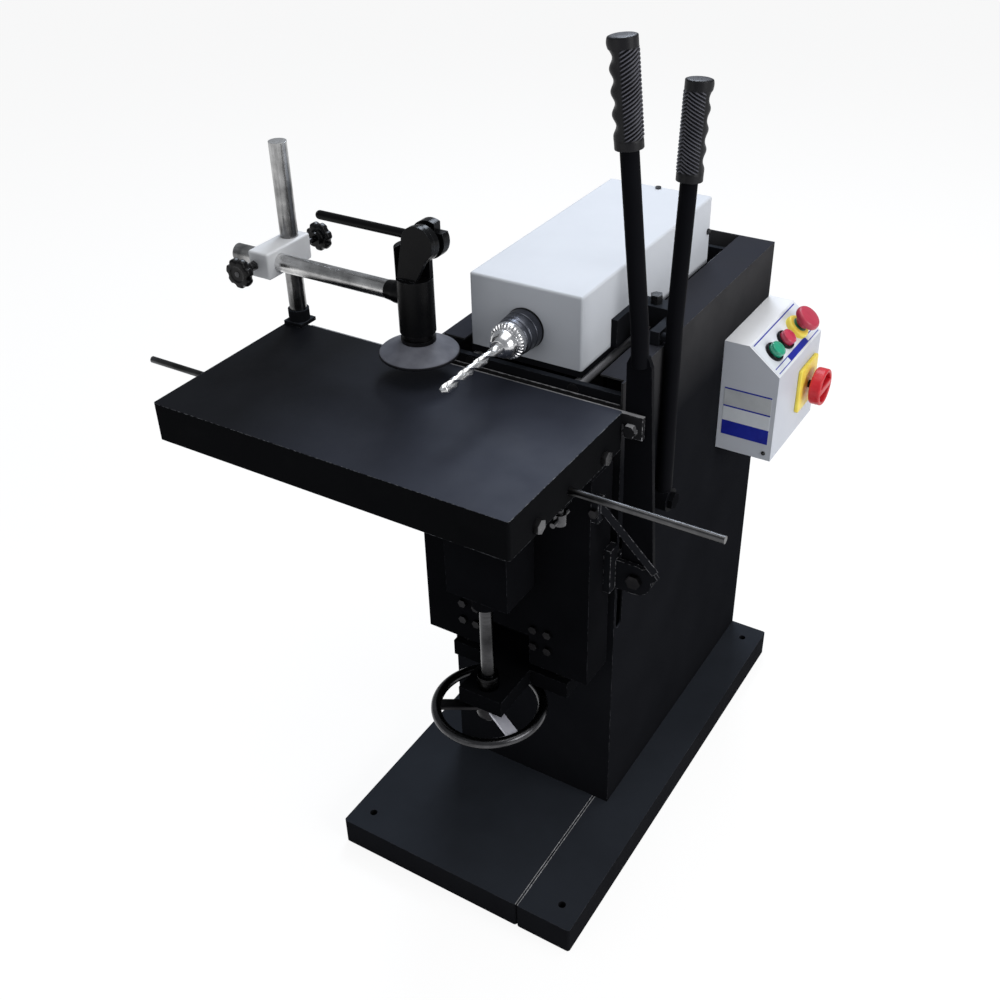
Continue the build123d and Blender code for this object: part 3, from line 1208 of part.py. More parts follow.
# Table
def post_seat(margin):
    """The shallow seat in the table's rear left corner under the post bracket."""
    half = SOCKET_PLATE_WIDTH / 2 + margin
    deep = SOCKET_PLATE_DEPTH / 2 + margin
    return block(
        POST_X - half, POST_X + half, POST_Y - deep, POST_Y + deep, TABLE_TOP - SOCKET_SEAT, TABLE_TOP,
    )


def table_top():
    """Plate with a folded skirt, open below, and the block that holds the stop rod."""
    top = block(TABLE_LEFT, TABLE_RIGHT, TABLE_FRONT, TABLE_REAR, SKIRT_BOTTOM, TABLE_TOP)
    top = fillet(top.edges().filter_by(Axis.Z), TABLE_CORNER)
    top -= block(
        TABLE_LEFT + TABLE_WALL, TABLE_RIGHT - TABLE_WALL,
        TABLE_FRONT + TABLE_WALL, TABLE_REAR - TABLE_WALL,
        SKIRT_BOTTOM, TABLE_TOP - TABLE_PLATE,
    )
    half = STOP_BLOCK_WIDTH / 2
    x0 = STOP_BLOCK_RIGHT - STOP_BLOCK_LENGTH
    top += block(
        x0, STOP_BLOCK_RIGHT, STOP_ROD_Y - half, STOP_ROD_Y + half,
        STOP_BLOCK_BOTTOM, STOP_BLOCK_BOTTOM + STOP_BLOCK_HEIGHT,
    )
    bore = STOP_ROD + 2 * RUNNING_FIT
    top -= rod_x(TABLE_LEFT, TABLE_LEFT + TABLE_WALL, STOP_ROD_Y, STOP_ROD_Z, bore)
    top -= rod_x(x0, TABLE_RIGHT, STOP_ROD_Y, STOP_ROD_Z, bore)
    top -= rod_z(STOP_BLOCK_X, STOP_ROD_Y, STOP_BLOCK_BOTTOM, STOP_ROD_Z, STOP_SCREW + 2 * RUNNING_FIT)
    return top - post_seat(SOCKET_SEAT_GAP)


def table_guide_rods():
    x0 = TABLE_LEFT + TABLE_WALL
    x1 = TABLE_RIGHT - TABLE_WALL
    return [rod_x(x0, x1, y, TABLE_ROD_Z, TABLE_ROD) for y in TABLE_ROD_YS]


def table_end_bolts():
    """Hexagon bolt heads on both ends of the skirt, one for each rod end."""
    bolts = []
    for y in TABLE_ROD_YS:
        head = hex_head(END_BOLT, END_BOLT_HEAD)
        bolts.append(Pos(TABLE_RIGHT, y, TABLE_ROD_Z) * Rot(0, 90, 0) * head)
        bolts.append(Pos(TABLE_LEFT, y, TABLE_ROD_Z) * Rot(0, -90, 0) * head)
    return bolts


def drive_strip():
    """Flat strip along the table's rear edge with a tab and a headed drive pin."""
    strip = block(STRIP_LEFT, STRIP_RIGHT, TABLE_REAR, STRIP_BACK, STRIP_TOP - STRIP_HEIGHT, STRIP_TOP)
    strip += block(
        STRIP_RIGHT - STRIP_TAB_WIDTH, STRIP_RIGHT, TABLE_REAR, STRIP_BACK,
        STRIP_TOP - STRIP_TAB_HEIGHT, STRIP_TOP,
    )
    strip += rod_y(DRIVE_PIN_X, STRIP_BACK, BAR_BACK + DRIVE_PIN_TAIL, DRIVE_PIN_Z, DRIVE_PIN)
    head = hex_head(END_BOLT, END_BOLT_HEAD)
    return strip + Pos(DRIVE_PIN_X, TABLE_REAR, DRIVE_PIN_Z) * Rot(90, 0, 0) * head


save("table_top", table_top())
save("table_guide_rods", *table_guide_rods())
save("table_end_bolts", *table_end_bolts())
save("drive_strip", drive_strip())


# Traverse lever
def drive_slot():
    """Radial long hole in the lever for the drive pin."""
    dx = DRIVE_PIN_X - BAR_PIVOT_X
    dz = DRIVE_PIN_Z - BAR_PIVOT_Z
    reach = math.hypot(dx, dz)
    near = math.hypot(max(0, abs(dx) - TRAVERSE_RIGHT), dz) - DRIVE_PIN_CLEAR
    far = math.hypot(dx - TRAVERSE_LEFT, dz) + DRIVE_PIN_CLEAR
    width = DRIVE_PIN + 2 * DRIVE_PIN_CLEAR
    slot = block(-width / 2, width / 2, BAR_FRONT, BAR_BACK, near, far)
    for z in (near, far):
        slot += rod_y(0, BAR_FRONT, BAR_BACK, z, width)
    lean = math.degrees(math.asin(dx / reach))
    return Pos(BAR_PIVOT_X, 0, BAR_PIVOT_Z) * Rot(0, lean, 0) * slot


def traverse_lever():
    """Tapered flat bar on a pivot, with shoulders into a bent tube."""
    half = BAR_TOP_WIDTH / 2
    points = [
        (BAR_PIVOT_X - BAR_PIVOT_RADIUS, BAR_PIVOT_Z),
        (BAR_PIVOT_X + BAR_PIVOT_RADIUS, BAR_PIVOT_Z),
        (BAR_TOP_X + half, BAR_TOP_Z),
        (BAR_TOP_X + LEVER_TUBE / 2, BAR_TOP_Z + BAR_SHOULDER),
        (BAR_TOP_X - LEVER_TUBE / 2, BAR_TOP_Z + BAR_SHOULDER),
        (BAR_TOP_X - half, BAR_TOP_Z),
    ]
    lever = plate_xz(points, BAR_FRONT, BAR_BACK)
    lever += rod_y(BAR_PIVOT_X, BAR_FRONT, BAR_BACK, BAR_PIVOT_Z, 2 * BAR_PIVOT_RADIUS)
    low, bend, high = tube_points()
    top = lean_point(bend, high, GRIP_END_WALL)
    lever += lever_tube((low, bend, top), LEVER_TUBE)
    lever -= rod_y(BAR_PIVOT_X, BAR_FRONT, BAR_BACK, BAR_PIVOT_Z, PIVOT_BOLT + 2 * RUNNING_FIT)
    return lever - drive_slot()


def tube_points():
    """Foot, bend and top of the traverse lever's tube."""
    low = (BAR_TOP_X, TUBE_Y, BAR_TOP_Z)
    bend = (TUBE_BEND_X, TUBE_Y, TUBE_BEND_Z)
    high = (TUBE_TOP_X, TUBE_Y, TUBE_TOP_Z)
    return low, bend, high


def traverse_grip():
    low, bend, high = tube_points()
    base = lean_point(bend, high, GRIP_LENGTH)
    return lever_grip(base, high, LEVER_TUBE + 2 * SEAT_FIT)


save("traverse_lever", traverse_lever())
save("traverse_grip", traverse_grip())


# End stop
def rod_lock_screw():
    """Screw up into the stop block with a cross bar through its head."""
    top = STOP_ROD_Z - STOP_ROD / 2 - SIDE_GAP
    head_top = STOP_BLOCK_BOTTOM - STOP_SCREW_NECK
    head_bottom = head_top - STOP_SCREW_HEAD_HEIGHT
    screw = rod_z(STOP_BLOCK_X, STOP_ROD_Y, head_top, top, STOP_SCREW)
    screw += rod_z(STOP_BLOCK_X, STOP_ROD_Y, head_bottom, head_top, STOP_SCREW_HEAD)
    half = STOP_SCREW_BAR_LENGTH / 2
    bar_z = (head_bottom + head_top) / 2
    bar = rod_y(0, -half, half, 0, STOP_SCREW_BAR)
    return screw + Pos(STOP_BLOCK_X, STOP_ROD_Y, bar_z) * bar


save("stop_rod", rod_x(STOP_ROD_LEFT, STOP_ROD_RIGHT, STOP_ROD_Y, STOP_ROD_Z, STOP_ROD))
save("rod_lock_screw", rod_lock_screw())


# Hold-down clamp
def post_bracket():
    """Plate seated in the table's rear left corner with a socket for the post."""
    half = SOCKET_PLATE_WIDTH / 2
    deep = SOCKET_PLATE_DEPTH / 2
    body = post_seat(0)
    body += block(
        POST_X - half, POST_X + half, POST_Y - deep, POST_Y + deep, TABLE_TOP, TABLE_TOP + SOCKET_PLATE,
    )
    body += rod_z(POST_X, POST_Y, POST_BOTTOM, TABLE_TOP + SOCKET_HEIGHT, SOCKET_DIA)
    return body - rod_z(POST_X, POST_Y, POST_BOTTOM, TABLE_TOP + SOCKET_HEIGHT, POST_DIA + 2 * SEAT_FIT)


def clamp_block():
    """Rounded block, bored upright for the post and crosswise for the arm."""
    x0 = POST_X - CLAMP_LEFT
    x1 = POST_X + CLAMP_RIGHT
    body = block(x0, x1, CLAMP_FRONT, CLAMP_BACK, CLAMP_BOTTOM, CLAMP_TOP)
    body = fillet(body.edges(), CLAMP_ROUND)
    body -= rod_z(POST_X, POST_Y, CLAMP_BOTTOM, CLAMP_TOP, POST_DIA + 2 * RUNNING_FIT)
    body -= rod_x(x0, x1, ARM_Y, ARM_Z, ARM_DIA + 2 * RUNNING_FIT)
    bore = KNOB_SCREW + 2 * RUNNING_FIT
    body -= rod_y(ARM_KNOB_X, CLAMP_FRONT, ARM_Y, ARM_Z, bore)
    return body - rod_y(POST_X, POST_Y, CLAMP_BACK, POST_KNOB_Z, bore)


def star_knob(standoff, depth):
    """Lobed knob on the local Z axis; its screw goes a given depth below the origin."""
    middle = standoff + KNOB_THICK / 2
    knob = Pos(0, 0, middle) * Cylinder(KNOB_DIA / 2, KNOB_THICK)
    for lobe in range(KNOB_LOBES):
        turn = Rot(0, 0, lobe * 360 / KNOB_LOBES)
        groove = Pos(KNOB_DIA / 2 + KNOB_NOTCH / 4, 0, middle)
        knob -= turn * groove * Cylinder(KNOB_NOTCH / 2, KNOB_THICK)
    knob += rod_z(0, 0, standoff - KNOB_HUB_LENGTH, standoff, KNOB_HUB)
    return knob + rod_z(0, 0, -depth, standoff, KNOB_SCREW)


def arm_knob():
    depth = ARM_Y - ARM_DIA / 2 - KNOB_TIP_GAP - CLAMP_FRONT
    place = Pos(ARM_KNOB_X, CLAMP_FRONT, ARM_Z) * Rot(90, 0, 0)
    return place * star_knob(ARM_KNOB_STANDOFF, depth)


def post_knob():
    depth = CLAMP_BACK - POST_Y - POST_DIA / 2 - KNOB_TIP_GAP
    place = Pos(POST_X, CLAMP_BACK, POST_KNOB_Z) * Rot(-90, 0, 0)
    return place * star_knob(POST_KNOB_STANDOFF, depth)


def clamp_arm():
    x1 = SLEEVE_X - SLEEVE_RADIUS + SLEEVE_ARM_DEPTH
    return rod_x(ARM_LEFT, x1, ARM_Y, ARM_Z, ARM_DIA)


def sleeve_front_plate():
    """Round-topped plate that stands on the ledge in front of the cam."""
    y1 = CAM_FRONT_FRONT - SIDE_GAP
    y0 = y1 - FRONT_PLATE
    radius = CAM_FRONT_DIA / 2
    x = CAM_X + FRONT_PLATE_RIGHT
    z = CAM_Z + FRONT_PLATE_RISE
    foot = SLEEVE_X - FRONT_PLATE_FOOT_LEFT
    outline = [
        (foot, SLEEVE_LEDGE),
        (foot + FRONT_PLATE_FOOT, SLEEVE_LEDGE),
        (x + radius, z),
        (x - radius, z),
    ]
    return plate_xz(outline, y0, y1) + rod_y(x, y0, y1, z, CAM_FRONT_DIA)


def clamp_sleeve():
    """Upright sleeve, cut down on its right to leave a cheek, a front plate and a tongue for the cam pin."""
    x0 = SLEEVE_X - SLEEVE_RADIUS
    x1 = SLEEVE_X + SLEEVE_RADIUS
    y0 = ARM_Y - SLEEVE_RADIUS
    y1 = ARM_Y + SLEEVE_RADIUS
    body = rod_z(SLEEVE_X, ARM_Y, SLEEVE_BOTTOM, SLEEVE_CHEEK_TOP, SLEEVE_DIA)
    body -= block(x0 + CHEEK_THICK, x1, y0, y1, SLEEVE_LEDGE, SLEEVE_CHEEK_TOP)
    tongue = block(
        CAM_X - TONGUE_LEFT, CAM_X + TONGUE_ROUND, TONGUE_FRONT, TONGUE_BACK, SLEEVE_LEDGE, CAM_Z,
    )
    body += sleeve_front_plate()
    body += tongue + rod_y(CAM_X, TONGUE_FRONT, TONGUE_BACK, CAM_Z, 2 * TONGUE_ROUND)
    body -= rod_y(CAM_X, TONGUE_FRONT, TONGUE_BACK, CAM_Z, CAM_PIN + 2 * RUNNING_FIT)
    shoulder = PLUNGER_SHOULDER_Z + PLUNGER_TOP_GAP
    body -= rod_z(SLEEVE_X, ARM_Y, SLEEVE_BOTTOM, shoulder, PLUNGER_DIA + 2 * RUNNING_FIT)
    body -= rod_z(SLEEVE_X, CAM_FRONT_MID, shoulder, SLEEVE_LEDGE, PLUNGER_STEM + 2 * RUNNING_FIT)
    return body - rod_x(x0, x0 + SLEEVE_ARM_DEPTH, ARM_Y, ARM_Z, ARM_DIA + 2 * SEAT_FIT)


def cam_lever():
    """Two eccentric discs joined by a pin through the tongue, with a handle to the left."""
    rear_front = TONGUE_BACK + SIDE_GAP
    rear_back = rear_front + CAM_REAR_LENGTH
    disc_x = CAM_X + CAM_OFFSET
    cam = rod_y(disc_x, CAM_FRONT_FRONT, CAM_FRONT_BACK, CAM_Z, CAM_FRONT_DIA)
    cam += rod_y(CAM_X, CAM_FRONT_BACK, rear_front, CAM_Z, CAM_PIN)
    rear = rod_y(disc_x, rear_front, rear_back, CAM_Z, CAM_REAR_DIA)
    corner = CAM_REAR_DIA / 2 / math.sqrt(2)
    notch = Box(CAM_NOTCH, CAM_REAR_LENGTH, CAM_NOTCH)
    cam += rear - Pos(disc_x + corner, (rear_front + rear_back) / 2, CAM_Z + corner) * notch
    z = CAM_Z + CAM_HANDLE_RISE
    end = CAM_X - CAM_HANDLE_LENGTH + CAM_HANDLE / 2
    cam += rod_x(end, CAM_X, CAM_FRONT_MID, z, CAM_HANDLE)
    return cam + Pos(end, CAM_FRONT_MID, z) * Sphere(CAM_HANDLE / 2)


def plunger():
    """Stepped plunger: stem to the cam, guided body, neck and ring over the foot."""
    body = rod_z(SLEEVE_X, ARM_Y, SLEEVE_BOTTOM, PLUNGER_SHOULDER_Z, PLUNGER_DIA)
    body += rod_z(SLEEVE_X, CAM_FRONT_MID, PLUNGER_SHOULDER_Z, STEM_TOP, PLUNGER_STEM)
    body += rod_z(SLEEVE_X, ARM_Y, FOOT_TOP, SLEEVE_BOTTOM, PLUNGER_NECK)
    body -= rod_z(SLEEVE_X, ARM_Y, SLEEVE_BOTTOM - SIDE_GAP, SLEEVE_BOTTOM, PLUNGER_NECK) - rod_z(
        SLEEVE_X, ARM_Y, SLEEVE_BOTTOM - SIDE_GAP, SLEEVE_BOTTOM, PLUNGER_DIA,
    )
    return body + rod_z(SLEEVE_X, ARM_Y, FOOT_TOP, FOOT_TOP + PLUNGER_RING_HEIGHT, PLUNGER_RING)


def clamp_foot():
    """Conical rubber foot with a straight rim."""
    z1 = FOOT_BOTTOM + FOOT_RIM
    foot = rod_z(SLEEVE_X, ARM_Y, FOOT_BOTTOM, z1, FOOT_DIA)
    height = FOOT_HEIGHT - FOOT_RIM
    return foot + Pos(SLEEVE_X, ARM_Y, z1 + height / 2) * Cone(FOOT_DIA / 2, FOOT_TOP_DIA / 2, height)


save("post_bracket", post_bracket())
save("clamp_post", rod_z(POST_X, POST_Y, POST_BOTTOM, TABLE_TOP + POST_LENGTH, POST_DIA))
save("clamp_block", clamp_block())
save("arm_knob", arm_knob())
save("post_knob", post_knob())
save("clamp_arm", clamp_arm())
save("clamp_sleeve", clamp_sleeve())
save("cam_lever", cam_lever())
save("plunger", plunger())
save("clamp_foot", clamp_foot())


# Switch box and controls
def box_outline(inset):
    """The box's outline in the XZ plane, drawn in by a sheet thickness."""
    run = BOX_RIGHT - SLOPE_LEFT
    tip = math.hypot(run, BOX_SLOPE_DROP)
    shift = inset * (tip - BOX_SLOPE_DROP) / run
    lower = inset * (tip - run) / BOX_SLOPE_DROP
    return [
        (COLUMN_SIDE + inset, BOX_BOTTOM + inset),
        (BOX_RIGHT - inset, BOX_BOTTOM + inset),
        (BOX_RIGHT - inset, SLOPE_LOW - lower),
        (SLOPE_LEFT - shift, BOX_TOP - inset),
        (COLUMN_SIDE + inset, BOX_TOP - inset),
    ]


def slope_plane(y):
    """A plane on the box's sloping face at a given y, with its Z axis outward."""
    run = BOX_RIGHT - SLOPE_LEFT
    centre = ((SLOPE_LEFT + BOX_RIGHT) / 2, y, (BOX_TOP + SLOPE_LOW) / 2)
    return Plane(origin=centre, x_dir=(0, 1, 0), z_dir=(BOX_SLOPE_DROP, 0, run))


def switch_box():
    """Closed sheet box with holes for the buttons and the main switch."""
    body = plate_xz(box_outline(0), BOX_FRONT, BOX_BACK)
    body -= plate_xz(box_outline(BOX_SHEET), BOX_FRONT + BOX_SHEET, BOX_BACK - BOX_SHEET)
    hole = Cylinder(BUTTON_STEM / 2 + STEM_FIT, BUTTON_STEM)
    for y in (START_Y, STOP_Y, ESTOP_Y):
        body -= slope_plane(y) * hole
    x0 = BOX_RIGHT - BOX_SHEET
    return body - rod_x(x0, BOX_RIGHT, SWITCH_Y, SWITCH_Z, BUTTON_STEM + 2 * STEM_FIT)


def push_button(y):
    """Round button on a stem through the slope."""
    cap = Pos(0, 0, BUTTON_TRAVEL + SIDE_GAP + BUTTON_HEIGHT / 2) * Cylinder(BUTTON_DIA / 2, BUTTON_HEIGHT)
    cap += rod_z(0, 0, -BUTTON_STEM_LENGTH, BUTTON_TRAVEL + SIDE_GAP, BUTTON_STEM)
    return slope_plane(y) * cap


def button_bezel(y):
    """Plain ring on the slope around a button."""
    ring = rod_z(0, 0, 0, BEZEL_HEIGHT, BEZEL_DIA)
    ring -= rod_z(0, 0, 0, BEZEL_HEIGHT, BUTTON_DIA + 2 * BEZEL_FIT)
    return slope_plane(y) * ring


def estop_button():
    """Mushroom button on a neck and a stem."""
    base = ESTOP_RING_THICK + BUTTON_TRAVEL + SIDE_GAP
    neck_top = base + ESTOP_NECK_HEIGHT
    cap = rod_z(0, 0, neck_top, neck_top + ESTOP_CAP, ESTOP_DIA)
    cap = fillet(cap.edges().sort_by(Axis.Z)[-1], ESTOP_CAP / 2)
    cap += rod_z(0, 0, base, neck_top, ESTOP_NECK)
    cap += rod_z(0, 0, -BUTTON_STEM_LENGTH, base, BUTTON_STEM)
    return slope_plane(ESTOP_Y) * cap


def estop_ring():
    ring = rod_z(0, 0, 0, ESTOP_RING_THICK, ESTOP_RING_DIA)
    ring -= rod_z(0, 0, 0, ESTOP_RING_THICK, BUTTON_STEM + 2 * ESTOP_RING_FIT)
    return slope_plane(ESTOP_Y) * ring


def switch_plate():
    half = SWITCH_PLATE_SIZE / 2
    x1 = BOX_RIGHT + SWITCH_PLATE
    plate = block(BOX_RIGHT, x1, SWITCH_Y - half, SWITCH_Y + half, SWITCH_Z - half, SWITCH_Z + half)
    return plate - rod_x(BOX_RIGHT, x1, SWITCH_Y, SWITCH_Z, BUTTON_STEM + 2 * STEM_FIT)


def main_switch():
    """Disc on a neck, with a bar handle in front and a shaft through the plate."""
    x0 = BOX_RIGHT + SWITCH_PLATE + SWITCH_GAP
    neck_end = x0 + SWITCH_NECK_LENGTH
    x1 = neck_end + SWITCH_DISC
    knob = rod_x(x0, neck_end, SWITCH_Y, SWITCH_Z, SWITCH_NECK)
    knob += rod_x(neck_end, x1, SWITCH_Y, SWITCH_Z, SWITCH_DIA)
    knob += block(
        x1, x1 + SWITCH_HANDLE, SWITCH_Y - SWITCH_HANDLE_LENGTH / 2, SWITCH_Y + SWITCH_HANDLE_LENGTH / 2,
        SWITCH_Z - SWITCH_HANDLE_WIDTH / 2, SWITCH_Z + SWITCH_HANDLE_WIDTH / 2,
    )
    return knob + rod_x(BOX_RIGHT - BUTTON_STEM_LENGTH, x0, SWITCH_Y, SWITCH_Z, BUTTON_STEM)


save("switch_box", switch_box())
save("start_button", push_button(START_Y))
save("stop_button", push_button(STOP_Y))
save("button_bezels", button_bezel(START_Y), button_bezel(STOP_Y))
save("estop_button", estop_button())
save("switch_backplates", estop_ring(), switch_plate())
save("main_switch", main_switch())
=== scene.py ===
import math

import bpy
import numpy as np
from mathutils import Matrix


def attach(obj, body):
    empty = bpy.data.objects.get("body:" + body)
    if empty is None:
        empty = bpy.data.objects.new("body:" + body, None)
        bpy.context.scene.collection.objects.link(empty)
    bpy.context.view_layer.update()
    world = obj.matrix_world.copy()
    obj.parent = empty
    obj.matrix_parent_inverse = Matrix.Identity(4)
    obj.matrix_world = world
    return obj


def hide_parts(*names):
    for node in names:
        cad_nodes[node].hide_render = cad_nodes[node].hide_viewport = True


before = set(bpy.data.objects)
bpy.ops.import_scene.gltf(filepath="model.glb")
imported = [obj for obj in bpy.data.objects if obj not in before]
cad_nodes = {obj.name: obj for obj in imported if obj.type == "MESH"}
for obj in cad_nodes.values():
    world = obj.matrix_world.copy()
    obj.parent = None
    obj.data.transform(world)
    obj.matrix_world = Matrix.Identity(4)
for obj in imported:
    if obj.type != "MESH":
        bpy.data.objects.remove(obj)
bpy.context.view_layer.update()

# Shapes are worked out in millimetres and put into the meshes in metres.
MM = 0.001
TURN = 2 * math.pi
UP = (0, 0, 1)
TO_RIGHT = (1, 0, 0)
TO_FRONT = (0, -1, 0)
TO_BACK = (0, 1, 0)

# Places on the machine, in millimetres; pairs are x and z, but for the sleeve's x and y
TRAVERSE_BEND = (179.5, -161.0, 1005.0)
TRAVERSE_TOP = (139.5, -161.0, 1379.0)
FEED_BEND = (168.5, -18.0, 950.0)
FEED_TOP = (168.5, 11.0, 1290.0)
SPINDLE = (-15.0, 947.0)
CHUCK_BACK = -137.5
CHUCK_SLEEVE_BACK = -152.8
CHUCK_SLEEVE_FRONT = -190.8
CHUCK_NOSE_FRONT = -212.1
DRILL_TIP = -354.1
ARM_KNOB = (-428.0, -244.0, 1000.0)
ARM_KNOB_STANDOFF = 26.0
ARM_KNOB_DEPTH = 13.7
ARM_HEIGHT = 1000.0
POST_KNOB = (-420.0, -143.0, 996.0)
POST_KNOB_STANDOFF = 38.0
POST_KNOB_DEPTH = 10.7
SLEEVE = (-149.0, -216.0)
FOOT_LOW = 909.0
WHEEL = (0.0, -290.0, 331.0)
BOX_RIGHT = 256.0
BOX_FRONT = 228.0
BOX_SCREW = (243.0, 612.0)
FRONT_SHEET = (155.0, 722.0)
SLOPE_MIDDLE = (227.5, 784.5)
SLOPE_NORMAL = (45.0, 57.0)
SLOPE_WIDTH = 72.6
START_Y = 268.0
STOP_Y = 319.0
ESTOP_Y = 372.0
SWITCH = (263.4, 371.0, 686.0)
BUTTON_FOOT = 3.3

# Finishes, with how many patches of each kind there are to the metre
PAINT_PATCHES = 7.0
PAINT_SMEARS = 22.0
PAINT_CHIPS_AND_GLINTS = 160.0
PAINT_PEEL = 900.0
METAL_STAINS = 14.0
METAL_LINES = 60.0
PLASTIC_PATCHES = 45.0
PLASTIC_GRAIN = 1400.0

# The mix node's sockets for colours, which share their names with its other sockets
FIRST_COLOUR = 6
SECOND_COLOUR = 7
MIXED_COLOUR = 2

# The cosines between the rounded and the flat normal at which an edge begins and is full
EDGE_BEGINS = 0.995
EDGE_FULL = 0.85


def fresh_finish(name, colour, metallic, roughness):
    """A new material with its colour, metal share and roughness set; gives it, its tree and its shader."""
    finish = bpy.data.materials.new(name)
    finish.use_nodes = True
    tree = finish.node_tree
    shader = tree.nodes["Principled BSDF"]
    shader.inputs["Base Color"].default_value = (*colour, 1.0)
    shader.inputs["Metallic"].default_value = metallic
    shader.inputs["Roughness"].default_value = roughness
    return finish, tree, shader


def cloud(tree, per_metre, detail=3.0, stretch=(1.0, 1.0, 1.0), rough=0.55):
    """Noise on the piece's own place, so many patches to the metre; a small stretch draws it out."""
    place = tree.nodes.new("ShaderNodeTexCoord")
    mapping = tree.nodes.new("ShaderNodeMapping")
    mapping.inputs["Scale"].default_value = stretch
    noise = tree.nodes.new("ShaderNodeTexNoise")
    noise.inputs["Scale"].default_value = per_metre
    noise.inputs["Detail"].default_value = detail
    noise.inputs["Roughness"].default_value = rough
    tree.links.new(place.outputs["Object"], mapping.inputs["Vector"])
    tree.links.new(mapping.outputs["Vector"], noise.inputs["Vector"])
    return noise.outputs["Fac"]


def spread(tree, value, low, high, start=0.3, end=0.7):
    """A value from start to end taken to low to high, and held there beyond."""
    node = tree.nodes.new("ShaderNodeMapRange")
    for name, number in zip(("From Min", "From Max", "To Min", "To Max"), (start, end, low, high)):
        node.inputs[name].default_value = number
    tree.links.new(value, node.inputs["Value"])
    return node.outputs["Result"]


def blend_colours(tree, share, first, second):
    """The first colour where the share is 0, the second where it is 1; each a colour or another output."""
    node = tree.nodes.new("ShaderNodeMix")
    node.data_type = "RGBA"
    tree.links.new(share, node.inputs["Factor"])
    for socket, colour in ((node.inputs[FIRST_COLOUR], first), (node.inputs[SECOND_COLOUR], second)):
        if isinstance(colour, tuple):
            socket.default_value = (*colour, 1.0)
        else:
            tree.links.new(colour, socket)
    return node.outputs[MIXED_COLOUR]


def combine(tree, operation, first, second):
    """Two values put together by an operation; the second is another output or a plain number."""
    node = tree.nodes.new("ShaderNodeMath")
    node.operation = operation
    tree.links.new(first, node.inputs[0])
    if isinstance(second, float):
        node.inputs[1].default_value = second
    else:
        tree.links.new(second, node.inputs[1])
    return node.outputs["Value"]


def times(tree, first, second):
    """Two values multiplied."""
    return combine(tree, "MULTIPLY", first, second)


def soft_edges(tree, radius):
    """The normal rounded over edges by a radius in millimetres, and how much of an edge each point is."""
    bevel = tree.nodes.new("ShaderNodeBevel")
    bevel.samples = 4
    bevel.inputs["Radius"].default_value = radius * MM
    flat = tree.nodes.new("ShaderNodeNewGeometry")
    dot = tree.nodes.new("ShaderNodeVectorMath")
    dot.operation = "DOT_PRODUCT"
    tree.links.new(bevel.outputs["Normal"], dot.inputs[0])
    tree.links.new(flat.outputs["Normal"], dot.inputs[1])
    return bevel.outputs["Normal"], spread(tree, dot.outputs["Value"], 0.0, 1.0, EDGE_BEGINS, EDGE_FULL)


def raise_grain(tree, shader, height, strength, depth, normal):
    """A bump of that depth in millimetres on a normal, which then goes to the shader."""
    bump = tree.nodes.new("ShaderNodeBump")
    bump.inputs["Strength"].default_value = strength
    bump.inputs["Distance"].default_value = depth * MM
    tree.links.new(height, bump.inputs["Height"])
    tree.links.new(normal, bump.inputs["Normal"])
    tree.links.new(bump.outputs["Normal"], shader.inputs["Normal"])


def axis_value(tree, vector, axis):
    """A vector's number along one axis."""
    parts = tree.nodes.new("ShaderNodeSeparateXYZ")
    tree.links.new(vector, parts.inputs["Vector"])
    return parts.outputs[axis]


def facing_up(tree, low, high):
    """A value that goes from low on upright faces to high on level ones."""
    normal = tree.nodes.new("ShaderNodeNewGeometry").outputs["Normal"]
    return spread(tree, axis_value(tree, normal, "Z"), low, high, start=0.4, end=0.9)


def facing_front(tree):
    """A value that is 1 on faces to the front and 0 elsewhere."""
    normal = tree.nodes.new("ShaderNodeNewGeometry").outputs["Normal"]
    return spread(tree, axis_value(tree, normal, "Y"), 0.0, 1.0, start=-0.6, end=-0.9)


def between(tree, axis, start, end, low=0.0, high=1.0):
    """A value from low at one place along an axis of the machine to high at another, in millimetres."""
    place = tree.nodes.new("ShaderNodeTexCoord").outputs["Object"]
    return spread(tree, axis_value(tree, place, axis), low, high, start * MM, end * MM)


